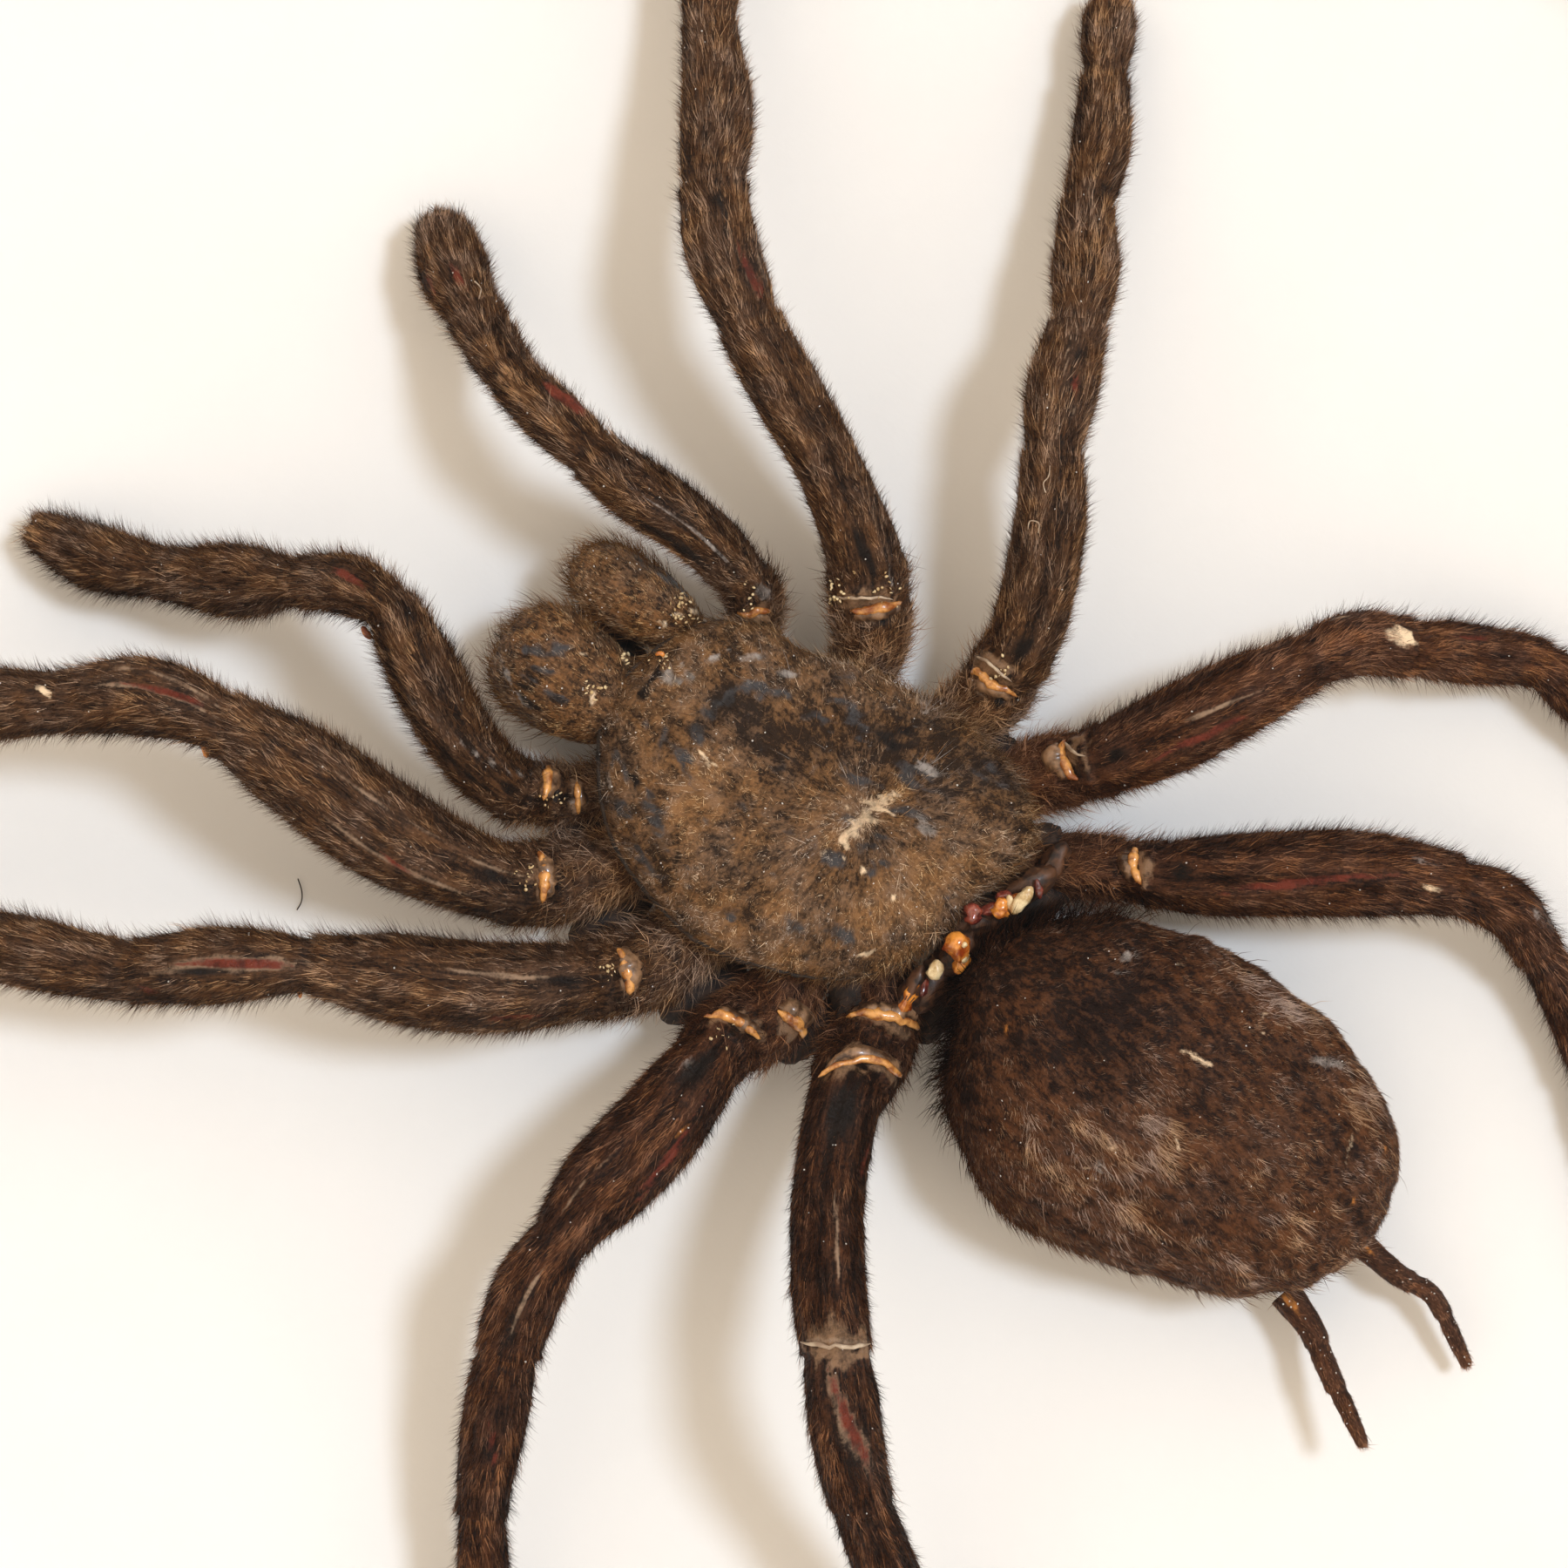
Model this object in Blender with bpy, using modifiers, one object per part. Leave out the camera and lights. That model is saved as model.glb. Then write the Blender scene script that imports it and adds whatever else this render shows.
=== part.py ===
# A dried tarantula on white card in a glazed shadow box that lies on its back.
# +Z points out through the glass, +Y towards the spider's head and +X to its right.
# Sizes are in millimetres, and MM turns them into Blender's metres.
# The origin is under the middle of the frame, on the surface that it lies on.

import math

import bmesh
import bpy
from mathutils import Matrix, Vector

MM = 0.001
GAP = 0.3  # between pieces that touch

# Frame
OUTER_WIDTH = 170.0
OUTER_LENGTH = 220.0
FRAME_DEPTH = 36.0
RAIL_WIDTH = 15.0
REBATE_WIDTH = 5.0  # how far the front lip covers the glass
LIP_THICKNESS = 3.5
RAIL_ROUNDING = 0.7

# What the rebate holds, from the back to the front
BACK_RECESS = 3.0
PANEL_THICKNESS = 2.5
CARD_THICKNESS = 5.0
GLASS_THICKNESS = 2.0
SPACER_WIDTH = 4.7

REBATE_HALF_WIDTH = OUTER_WIDTH / 2 - RAIL_WIDTH + REBATE_WIDTH
REBATE_HALF_LENGTH = OUTER_LENGTH / 2 - RAIL_WIDTH + REBATE_WIDTH
LIP_BACK = FRAME_DEPTH - LIP_THICKNESS
PANEL_FRONT = BACK_RECESS + PANEL_THICKNESS
CARD_BACK = PANEL_FRONT + GAP
CARD_FRONT = CARD_BACK + CARD_THICKNESS
GLASS_FRONT = LIP_BACK - GAP
GLASS_BACK = GLASS_FRONT - GLASS_THICKNESS

# Fastenings in the recess behind the panel
TAB_LENGTH = 14.0
TAB_WIDTH = 9.0
TAB_THICKNESS = 0.6
TAB_CORNER = 2.5
TAB_SIDE_Y = 55.0  # of the two tabs on each long rail, above and below the middle
TAB_END_X = 45.0  # of the two tabs on the bottom rail
HANGER_WIDTH = 45.0
HANGER_HEIGHT = 9.0
HANGER_THICKNESS = 0.9
HANGER_TEETH = 7
TOOTHED_WIDTH = 27.0
TOOTH_DEPTH = 1.6
HANGER_Y = 82.0
PIN_OFFSET = 18.5  # from the hanger's middle to each pin
PIN_RADIUS = 0.7
PIN_HEAD_RADIUS = 1.7
PIN_HEAD_THICKNESS = 0.7
PIN_HEAD_SHOULDER = (1.45, 0.5)  # where the head's rounding starts: radius and height
PIN_LENGTH = 3.4
PIN_HOLE_RADIUS = 1.1
PIN_SIDES = 10

# The limbs, as stations along the middle of each: x, y, height above the card and width.
# Each starts beside the breastbone, under the carapace, and ends at the tip of its foot.
# A leg's stations are its coxa's root and end, its trochanter, the femur's base, middle and
# upper part, the knee, then the middle and end of patella, tibia, metatarsus and tarsus.
LEGS = {
    "leg_right_1": (
        (4.6, 0.6, 3.0, 3.0), (8.2, 1.0, 3.1, 4.2), (10.4, 2.9, 4.4, 4.7), (11.6, 4.2, 5.8, 4.4),
        (13.9, 8.4, 8.0, 3.7), (15.6, 12.8, 9.1, 4.0), (16.9, 16.0, 9.6, 3.7), (18.7, 19.1, 9.3, 4.0),
        (21.2, 22.0, 7.8, 3.7), (24.7, 24.7, 6.2, 4.0), (27.8, 27.7, 4.8, 3.2), (30.9, 30.0, 3.9, 3.5),
        (33.7, 32.1, 3.2, 2.9), (36.2, 33.8, 2.6, 3.1), (38.6, 35.4, 2.0, 2.6),
    ),
    "leg_right_2": (
        (4.6, -3.4, 3.0, 2.8), (10.2, -5.4, 3.1, 4.2), (11.7, -5.1, 4.2, 4.2), (13.3, -4.9, 5.6, 4.2),
        (16.8, -3.3, 7.4, 4.1), (19.5, -1.6, 8.2, 3.9), (21.6, 0.0, 8.4, 3.5), (24.4, 1.7, 7.8, 4.0),
        (27.5, 3.1, 6.4, 3.4), (30.3, 4.8, 5.0, 3.7), (33.0, 6.8, 3.9, 3.1), (36.0, 8.3, 3.4, 3.4),
        (38.7, 10.2, 2.8, 2.8), (40.6, 11.5, 2.3, 3.1), (42.4, 12.8, 1.9, 2.7),
    ),
    "leg_right_3": (
        (3.9, -7.0, 3.0, 2.6), (8.8, -10.0, 3.1, 4.2), (10.6, -11.4, 4.6, 4.0), (11.8, -12.2, 5.8, 4.3),
        (15.6, -14.0, 7.4, 4.6), (19.1, -15.5, 7.9, 4.2), (21.4, -16.6, 7.4, 3.4), (24.0, -18.0, 6.2, 3.6),
        (25.7, -20.3, 4.7, 3.4), (27.7, -23.2, 3.4, 3.4), (29.6, -26.3, 2.6, 2.9), (29.6, -29.7, 2.2, 3.0),
        (29.0, -32.9, 1.9, 2.5), (28.3, -35.3, 1.8, 2.6), (27.3, -37.6, 1.5, 2.2),
    ),
    "leg_right_4": (
        (2.8, -9.6, 2.8, 2.4), (6.2, -14.2, 2.8, 3.6), (8.1, -17.0, 3.5, 3.7), (8.9, -18.3, 4.2, 4.1),
        (12.3, -22.3, 5.4, 4.7), (15.8, -26.6, 6.1, 4.5), (17.7, -29.9, 5.7, 3.5), (18.7, -32.9, 4.4, 3.4),
        (18.0, -35.8, 3.1, 3.0), (16.9, -39.0, 2.4, 3.0), (15.1, -42.0, 2.1, 2.7), (13.4, -44.8, 2.0, 2.8),
        (11.5, -47.4, 1.8, 2.4), (9.8, -49.4, 1.7, 2.5), (7.9, -51.2, 1.5, 2.1),
    ),
    "leg_left_1": (
        (-5.0, 2.2, 3.0, 2.8), (-10.2, 5.0, 3.1, 4.7), (-12.4, 7.0, 4.8, 4.8), (-13.2, 8.2, 6.2, 4.5),
        (-14.6, 13.5, 8.6, 5.3), (-15.0, 19.5, 10.3, 5.0), (-15.5, 23.8, 10.9, 3.6),
        (-17.0, 27.7, 10.6, 4.2), (-19.9, 30.8, 9.8, 3.7), (-22.6, 34.1, 8.8, 4.0), (-25.2, 37.5, 7.4, 3.3),
        (-27.7, 40.1, 5.9, 3.2), (-30.2, 42.6, 4.3, 2.7), (-32.1, 44.7, 2.9, 2.8), (-33.9, 46.6, 1.8, 2.4),
    ),
    "leg_left_2": (
        (-5.0, -1.8, 3.0, 2.8), (-11.0, -0.8, 3.1, 5.0), (-13.5, 0.8, 4.8, 4.7), (-14.6, 1.8, 6.2, 4.5),
        (-17.5, 5.0, 8.2, 5.0), (-20.3, 9.3, 9.3, 4.7), (-22.2, 12.6, 9.9, 3.4), (-25.1, 16.2, 10.0, 4.1),
        (-28.3, 19.5, 9.5, 3.6), (-30.8, 24.0, 8.5, 4.0), (-33.3, 28.5, 7.2, 3.4), (-35.3, 31.6, 5.8, 3.3),
        (-37.1, 34.6, 4.3, 2.7), (-38.7, 36.9, 2.9, 2.8), (-40.2, 39.1, 1.8, 2.4),
    ),
    "leg_left_3": (
        (-4.4, -5.6, 3.0, 2.8), (-9.6, -6.9, 3.1, 4.9), (-12.2, -6.0, 5.0, 4.5), (-13.5, -6.0, 6.6, 4.3),
        (-17.5, -6.1, 8.8, 5.0), (-21.7, -5.8, 9.6, 4.8), (-24.7, -5.8, 9.8, 3.6), (-28.0, -6.2, 9.3, 3.9),
        (-31.2, -7.4, 8.0, 3.6), (-35.0, -9.5, 7.0, 3.6), (-38.7, -11.7, 6.0, 2.9), (-41.4, -13.9, 4.9, 2.9),
        (-44.0, -16.3, 3.7, 2.5), (-45.7, -18.2, 2.6, 2.5), (-47.4, -20.0, 1.6, 2.2),
    ),
    "leg_left_4": (
        (-2.8, -8.9, 3.0, 2.8), (-6.3, -11.6, 3.0, 4.7), (-8.9, -12.3, 4.8, 5.0), (-10.2, -12.5, 6.6, 4.4),
        (-14.6, -14.9, 9.8, 4.1), (-18.1, -17.8, 12.4, 4.2), (-20.3, -20.0, 13.6, 3.9),
        (-23.0, -22.8, 13.0, 3.9), (-25.5, -26.0, 10.8, 3.5), (-28.0, -30.1, 8.2, 3.5),
        (-30.2, -34.0, 6.0, 3.1), (-32.2, -37.6, 4.5, 3.0), (-34.2, -40.9, 3.2, 2.6),
        (-35.7, -43.5, 2.3, 2.7), (-37.1, -45.9, 1.7, 2.4),
    ),
}
# A palp has no metatarsus.
PALPS = {
    "palp_right": (
        (3.2, 5.0, 2.8, 2.4), (5.6, 6.4, 3.0, 2.8), (6.5, 7.4, 4.6, 3.2), (6.8, 8.3, 5.8, 3.1),
        (7.1, 11.9, 8.2, 3.5), (6.8, 15.5, 9.6, 3.6), (6.8, 17.9, 10.4, 3.0), (7.0, 20.5, 10.1, 3.3),
        (7.2, 23.3, 8.6, 3.0), (7.8, 25.5, 6.6, 3.2), (8.6, 27.5, 5.0, 3.3), (9.6, 29.9, 3.6, 3.8),
        (11.3, 32.3, 2.1, 3.0),
    ),
    "palp_left": (
        (-3.6, 5.4, 2.8, 2.6), (-7.3, 8.1, 3.0, 3.1), (-8.6, 9.9, 5.0, 3.5), (-9.1, 11.0, 6.6, 3.7),
        (-8.4, 14.7, 9.4, 3.8), (-6.9, 18.3, 11.0, 3.9), (-5.8, 20.7, 11.2, 3.0), (-6.1, 23.3, 9.8, 3.4),
        (-7.6, 25.5, 7.6, 3.1), (-9.8, 28.4, 5.6, 3.9), (-11.8, 31.5, 4.2, 3.1), (-13.4, 34.8, 3.1, 3.7),
        (-14.4, 38.5, 2.0, 2.2),
    ),
}
SPINNERETS = {
    "spinneret_right": (
        (0.5, -38.0, 2.4, 1.6), (0.5, -40.6, 2.8, 1.4), (0.8, -42.7, 2.6, 1.3), (0.0, -44.7, 2.2, 1.1),
        (-0.9, -46.6, 1.8, 0.8),
    ),
    "spinneret_left": (
        (-4.0, -36.8, 2.3, 1.8), (-4.5, -39.0, 2.7, 1.6), (-5.5, -40.8, 3.3, 1.4), (-6.4, -42.6, 3.9, 1.2),
        (-7.5, -44.7, 4.5, 0.8),
    ),
}
LIMB_STEPS = 2  # tube rings in each stretch between two stations
LIMB_SIDES_EXTRA = 3  # Blender's bevel resolution: a tube of ten sides
TIP_ROUNDING = (0.6, 0.92)  # how far along the last half width the end's rings lie

# The carapace seen from above: its margin's points about its middle, going round from +X
CARAPACE_MIDDLE = (-0.4, -1.0)
CARAPACE_MARGIN = (
    (7.2, 0.6), (6.0, 3.6), (5.7, 5.9), (3.9, 8.5), (0.6, 9.7), (-2.6, 9.8), (-5.3, 8.1), (-7.9, 5.0),
    (-8.9, 1.6), (-9.1, -1.8), (-7.8, -5.6), (-5.1, -9.5), (-1.4, -11.2), (1.9, -11.4), (5.2, -12.0),
    (7.3, -10.4), (8.3, -6.6), (8.0, -2.9),
)
# The cephalothorax from its underside to its top: share of the margin's reach, and height
CEPHALOTHORAX_PROFILE = (
    (0.0, 0.5), (0.25, 0.5), (0.41, 0.7), (0.45, 1.6), (0.45, 4.4), (0.52, 5.4), (0.78, 5.45), (0.95, 5.5),
    (1.0, 5.9), (0.985, 6.5), (0.93, 7.4), (0.82, 8.4), (0.66, 9.15), (0.45, 9.6), (0.22, 9.8), (0.0, 9.8),
)
# The waist, then the torn skin beside it: both ends and radius
PEDICEL_PARTS = (
    ((-0.3, -4.5, 4.4), (-0.6, -12.9, 4.4), 1.2),
    ((-0.6, -12.1, 4.5), (-2.6, -12.2, 4.5), 0.75),
    ((-0.6, -12.0, 4.6), (2.5, -12.1, 4.7), 0.75),
    ((2.2, -12.1, 4.7), (5.3, -12.7, 5.5), 0.7),
)
PEDICEL_SIDES = 10

ABDOMEN_MIDDLE = (-0.9, -25.6)
ABDOMEN_MARGIN = (
    (8.2, -24.8), (7.4, -20.9), (5.8, -17.6), (3.4, -14.9), (0.9, -13.4), (-1.6, -13.2), (-4.4, -14.6),
    (-7.3, -16.6), (-9.0, -19.4), (-9.9, -23.0), (-9.1, -27.0), (-7.5, -31.3), (-5.5, -34.7),
    (-2.6, -37.3), (1.2, -38.4), (4.4, -37.2), (7.0, -34.3), (8.1, -30.4),
)
ABDOMEN_BOTTOM = 0.4
ABDOMEN_WIDEST = 5.4
ABDOMEN_TOP = 11.5
ABDOMEN_SQUARENESS = 0.86  # 1 is an ellipsoid, less is fuller

# Each fang base: middle, half sizes, and turn about +Z in degrees
CHELICERAE = {
    "chelicera_left": ((-2.95, 13.2, 4.2), (3.25, 3.05, 3.75), 6.0),
    "chelicera_right": ((2.60, 12.75, 3.9), (2.05, 2.9, 3.4), 6.0),
}
CHELICERA_SQUARENESS = 0.85

BODY_AROUND = 26
ABDOMEN_RINGS = 16
CHELICERA_AROUND = 14
CHELICERA_RINGS = 10

# Colours (linear), roughness, metallic
FINISHES = {
    "stained_wood": ((0.028, 0.017, 0.011), 0.45, 0.0),
    "glass": ((0.95, 0.97, 0.96), 0.02, 0.0),
    "white_card": ((0.86, 0.84, 0.80), 0.85, 0.0),
    "hardboard": ((0.22, 0.12, 0.06), 0.75, 0.0),
    "zinc_steel": ((0.60, 0.60, 0.58), 0.35, 1.0),
    "carapace": ((0.080, 0.052, 0.028), 0.60, 0.0),
    "body_fur": ((0.028, 0.016, 0.009), 0.80, 0.0),
    "limb_fur": ((0.040, 0.024, 0.014), 0.75, 0.0),
}


def make_material(name):
    colour, roughness, metallic = FINISHES[name]
    material = bpy.data.materials.new(name)
    material.use_nodes = True
    shader = material.node_tree.nodes["Principled BSDF"]
    shader.inputs["Base Color"].default_value = (*colour, 1.0)
    shader.inputs["Roughness"].default_value = roughness
    shader.inputs["Metallic"].default_value = metallic
    if name == "glass":
        shader.inputs["Transmission Weight"].default_value = 1.0
        shader.inputs["IOR"].default_value = 1.5
    return material


def make_collection(name):
    collection = bpy.data.collections.new(name)
    bpy.context.scene.collection.children.link(collection)
    return collection


def add_mesh(name, form, material, collection):
    """Put a bmesh in the scene as an object, and free it."""
    bmesh.ops.recalc_face_normals(form, faces=form.faces)
    mesh = bpy.data.meshes.new(name)
    form.to_mesh(mesh)
    form.free()
    thing = bpy.data.objects.new(name, mesh)
    if material:
        mesh.materials.append(material)
    collection.objects.link(thing)
    return thing


def box_form(low, high):
    """A bmesh box between two corners given in millimetres."""
    form = bmesh.new()
    bmesh.ops.create_cube(form, size=1.0)
    low, high = Vector(low) * MM, Vector(high) * MM
    size = high - low
    bmesh.ops.scale(form, vec=size, verts=form.verts)
    bmesh.ops.translate(form, vec=(low + high) / 2, verts=form.verts)
    return form


def cylinder_form(radius, start, end, sides):
    """A capped bmesh cylinder between two points given in millimetres."""
    start, end = Vector(start), Vector(end)
    along = end - start
    form = bmesh.new()
    bmesh.ops.create_cone(
        form, cap_ends=True, segments=sides, radius1=radius * MM, radius2=radius * MM,
        depth=along.length * MM,
    )
    turn = along.to_track_quat("Z", "Y").to_matrix().to_4x4()
    bmesh.ops.transform(form, matrix=Matrix.Translation((start + end) / 2 * MM) @ turn, verts=form.verts)
    return form


def add_cutter(name, form, cutters):
    cutter = add_mesh(name, form, None, cutters)
    cutter.hide_render = True
    cutter.display_type = "WIRE"
    return cutter


def add_boolean(thing, other, operation):
    cut = thing.modifiers.new(operation.title(), "BOOLEAN")
    cut.operation = operation
    cut.object = other


def round_edges(thing, width):
    bevel = thing.modifiers.new("Rounding", "BEVEL")
    bevel.width = width * MM
    bevel.segments = 1
    bevel.limit_method = "ANGLE"


# ---- Frame ----

def add_rail(name, length, reach, turn_degrees, rebate, material, collection):
    """A mitred rail whose outer face lies reach from the middle, turned about +Z."""
    half = length / 2 - GAP / 2
    form = box_form((-half, reach - RAIL_WIDTH, 0), (half, reach, FRAME_DEPTH))
    for point in form.verts:
        if point.co.y < (reach - RAIL_WIDTH / 2) * MM:
            point.co.x -= math.copysign(RAIL_WIDTH * MM, point.co.x)
    turn = Matrix.Rotation(math.radians(turn_degrees), 4, "Z")
    bmesh.ops.transform(form, matrix=turn, verts=form.verts)
    rail = add_mesh(name, form, material, collection)
    round_edges(rail, RAIL_ROUNDING)
    add_boolean(rail, rebate, "DIFFERENCE")
    return rail


def add_frame(materials, collection, cutters):
    rebate = add_cutter(
        "rebate_cutter",
        box_form(
            (-REBATE_HALF_WIDTH, -REBATE_HALF_LENGTH, -FRAME_DEPTH),
            (REBATE_HALF_WIDTH, REBATE_HALF_LENGTH, LIP_BACK),
        ),
        cutters,
    )
    rails = (
        ("rail_top", OUTER_WIDTH, OUTER_LENGTH / 2, 0),
        ("rail_left", OUTER_LENGTH, OUTER_WIDTH / 2, 90),
        ("rail_bottom", OUTER_WIDTH, OUTER_LENGTH / 2, 180),
        ("rail_right", OUTER_LENGTH, OUTER_WIDTH / 2, 270),
    )
    for name, length, reach, turn in rails:
        add_rail(name, length, reach, turn, rebate, materials["stained_wood"], collection)


def add_sheet(name, back, front, material, collection):
    """A sheet that fills the rebate, between two heights."""
    half_width, half_length = REBATE_HALF_WIDTH - GAP, REBATE_HALF_LENGTH - GAP
    form = box_form((-half_width, -half_length, back), (half_width, half_length, front))
    return add_mesh(name, form, material, collection)


def add_spacers(material, collection):
    """Four strips that hold the glass off the card, the long ones between the short ones."""
    half_width, half_length = REBATE_HALF_WIDTH - GAP, REBATE_HALF_LENGTH - GAP
    back, front = CARD_FRONT + GAP, GLASS_BACK - GAP
    inner_width, inner_length = half_width - SPACER_WIDTH, half_length - SPACER_WIDTH
    strips = {
        "spacer_top": ((-half_width, inner_length), (half_width, half_length)),
        "spacer_bottom": ((-half_width, -half_length), (half_width, -inner_length)),
        "spacer_left": ((-half_width, GAP - inner_length), (-inner_width, inner_length - GAP)),
        "spacer_right": ((inner_width, GAP - inner_length), (half_width, inner_length - GAP)),
    }
    for name, (low, high) in strips.items():
        add_mesh(name, box_form((*low, back), (*high, front)), material, collection)


# ---- Fastenings behind the panel ----

def add_tabs(material, collection):
    """Flat spring tabs, butted to the rails, that keep the panel in."""
    front = BACK_RECESS - GAP
    side_x, end_y = REBATE_HALF_WIDTH - GAP, REBATE_HALF_LENGTH - GAP
    seats = (
        (side_x, TAB_SIDE_Y, 0), (side_x, -TAB_SIDE_Y, 0),
        (-side_x, TAB_SIDE_Y, 180), (-side_x, -TAB_SIDE_Y, 180),
        (TAB_END_X, -end_y, 270), (-TAB_END_X, -end_y, 270),
    )
    for number, (x, y, turn_degrees) in enumerate(seats, start=1):
        form = box_form((-TAB_LENGTH, -TAB_WIDTH / 2, front - TAB_THICKNESS), (0, TAB_WIDTH / 2, front))
        corners = [
            edge for edge in form.edges
            if all(point.co.x < -TAB_LENGTH / 2 * MM for point in edge.verts)
            and abs(edge.verts[0].co.z - edge.verts[1].co.z) > TAB_THICKNESS / 2 * MM
        ]
        bmesh.ops.bevel(
            form, geom=corners, offset=TAB_CORNER * MM, segments=3, profile=0.5, affect="EDGES"
        )
        place = Matrix.Translation((x * MM, y * MM, 0)) @ Matrix.Rotation(
            math.radians(turn_degrees), 4, "Z"
        )
        bmesh.ops.transform(form, matrix=place, verts=form.verts)
        add_mesh(f"tab_{number}", form, material, collection)


def add_hanger(material, collection):
    """A flat strip with teeth along its lower edge and a hole for a pin at each end."""
    half, top = HANGER_WIDTH / 2, HANGER_HEIGHT / 2
    pitch = TOOTHED_WIDTH / HANGER_TEETH
    outline = [(-half, -top), (-half, top), (half, top), (half, -top)]
    for tooth in range(HANGER_TEETH):
        start = TOOTHED_WIDTH / 2 - tooth * pitch
        outline += [(start, -top), (start - pitch / 2, TOOTH_DEPTH - top)]
    outline.append((-TOOTHED_WIDTH / 2, -top))
    holes = [
        [
            (
                middle + PIN_HOLE_RADIUS * math.cos(2 * math.pi * step / PIN_SIDES),
                PIN_HOLE_RADIUS * math.sin(2 * math.pi * step / PIN_SIDES),
            )
            for step in range(PIN_SIDES)
        ]
        for middle in (-PIN_OFFSET, PIN_OFFSET)
    ]
    curve = bpy.data.curves.new("sawtooth_hanger", "CURVE")
    curve.dimensions = "2D"
    curve.fill_mode = "BOTH"
    curve.extrude = HANGER_THICKNESS / 2 * MM
    for points in [outline, *holes]:
        spline = curve.splines.new("POLY")
        spline.points.add(len(points) - 1)
        for point, (x, y) in zip(spline.points, points):
            point.co = (x * MM, y * MM, 0.0, 1.0)
        spline.use_cyclic_u = True
    curve.materials.append(material)
    hanger = bpy.data.objects.new("sawtooth_hanger", curve)
    hanger.location = (0, HANGER_Y * MM, (BACK_RECESS - GAP - HANGER_THICKNESS / 2) * MM)
    collection.objects.link(hanger)


def add_pins(panel, material, collection, cutters):
    """The hanger's two pins, and their holes in the panel."""
    head_front = BACK_RECESS - 2 * GAP - HANGER_THICKNESS
    profile = (
        (0.0, PIN_LENGTH), (PIN_RADIUS, PIN_LENGTH), (PIN_RADIUS, 0.0), (PIN_HEAD_RADIUS, 0.0),
        (PIN_HEAD_SHOULDER[0], -PIN_HEAD_SHOULDER[1]), (0.0, -PIN_HEAD_THICKNESS),
    )
    for name, x in (("hanger_pin_left", -PIN_OFFSET), ("hanger_pin_right", PIN_OFFSET)):
        mesh = bpy.data.meshes.new(name)
        points = [(radius * MM, 0.0, height * MM) for radius, height in profile]
        mesh.from_pydata(points, [(step, step + 1) for step in range(len(points) - 1)], [])
        mesh.materials.append(material)
        pin = bpy.data.objects.new(name, mesh)
        pin.location = (x * MM, HANGER_Y * MM, head_front * MM)
        collection.objects.link(pin)
        turned = pin.modifiers.new("Turned", "SCREW")
        turned.steps = turned.render_steps = PIN_SIDES
        turned.use_merge_vertices = True
        turned.merge_threshold = 0.00001
        hole = cylinder_form(
            PIN_HOLE_RADIUS, (x, HANGER_Y, 0), (x, HANGER_Y, CARD_BACK + GAP), PIN_SIDES
        )
        add_boolean(panel, add_cutter(f"{name}_hole_cutter", hole, cutters), "DIFFERENCE")


# ---- Specimen ----

def smooth_row(rows, position):
    """A row read from a smooth curve through the given rows, whole numbers being the rows."""
    start = min(int(position), len(rows) - 2)
    share = position - start
    a, b, c, d = (Vector(rows[min(max(start + step, 0), len(rows) - 1)]) for step in (-1, 0, 1, 2))
    before, after = (b - a).length or 1.0, (d - c).length or 1.0
    span = (c - b).length
    leave = ((c - b) / span + (b - a) / before) / 2 * span
    arrive = ((c - b) / span + (d - c) / after) / 2 * span
    square, cube = share * share, share ** 3
    return (
        b * (2 * cube - 3 * square + 1) + leave * (cube - 2 * square + share)
        + c * (3 * square - 2 * cube) + arrive * (cube - square)
    )


def add_limb(name, stations, material, collection):
    """A tapering tube through a limb's stations, round at its tip."""
    stretches = len(stations) - 1
    rings = [smooth_row(stations, step / LIMB_STEPS) for step in range(stretches * LIMB_STEPS)]
    tip = Vector(stations[-1])
    half_width = tip[3] / 2
    along = (tip.xyz - rings[-1].xyz).normalized()
    for share in TIP_ROUNDING:
        place = tip.xyz - along * half_width * (1 - share)
        rings.append(Vector((*place, tip[3] * math.sqrt(1 - share ** 2))))
    curve = bpy.data.curves.new(name, "CURVE")
    curve.dimensions = "3D"
    curve.bevel_depth = MM / 2
    curve.bevel_resolution = LIMB_SIDES_EXTRA
    curve.use_fill_caps = True
    curve.render_resolution_u = 0
    spline = curve.splines.new("POLY")
    spline.points.add(len(rings) - 1)
    for point, (x, y, height, width) in zip(spline.points, rings):
        point.co = (x * MM, y * MM, (CARD_FRONT + height) * MM, 1.0)
        point.radius = width
    spline.use_smooth = True
    curve.materials.append(material)
    limb = bpy.data.objects.new(name, curve)
    collection.objects.link(limb)
    return limb


def margin_reach(margin, middle, angle):
    """How far a closed outline lies from its middle in one direction."""
    turns = []
    for x, y in margin:
        away = math.atan2(y - middle[1], x - middle[0])
        turns.append((away % (2 * math.pi), math.hypot(x - middle[0], y - middle[1])))
    turns.sort()
    count = len(turns)
    ring = (
        [(turn - 2 * math.pi, reach) for turn, reach in turns[-2:]] + turns
        + [(turn + 2 * math.pi, reach) for turn, reach in turns[:3]]
    )
    angle %= 2 * math.pi
    place = next(step for step in range(1, count + 3) if ring[step][0] <= angle <= ring[step + 1][0])
    (t0, r0), (t1, r1), (t2, r2), (t3, r3) = ring[place - 1:place + 3]
    share = (angle - t1) / (t2 - t1)
    slope1, slope2 = (r2 - r0) / (t2 - t0) * (t2 - t1), (r3 - r1) / (t3 - t1) * (t2 - t1)
    square, cube = share * share, share ** 3
    return (
        r1 * (2 * cube - 3 * square + 1) + slope1 * (cube - 2 * square + share)
        + r2 * (3 * square - 2 * cube) + slope2 * (cube - square)
    )


def sphere_form(around, rings):
    form = bmesh.new()
    bmesh.ops.create_uvsphere(form, u_segments=around, v_segments=rings, radius=1.0)
    return form


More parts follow.
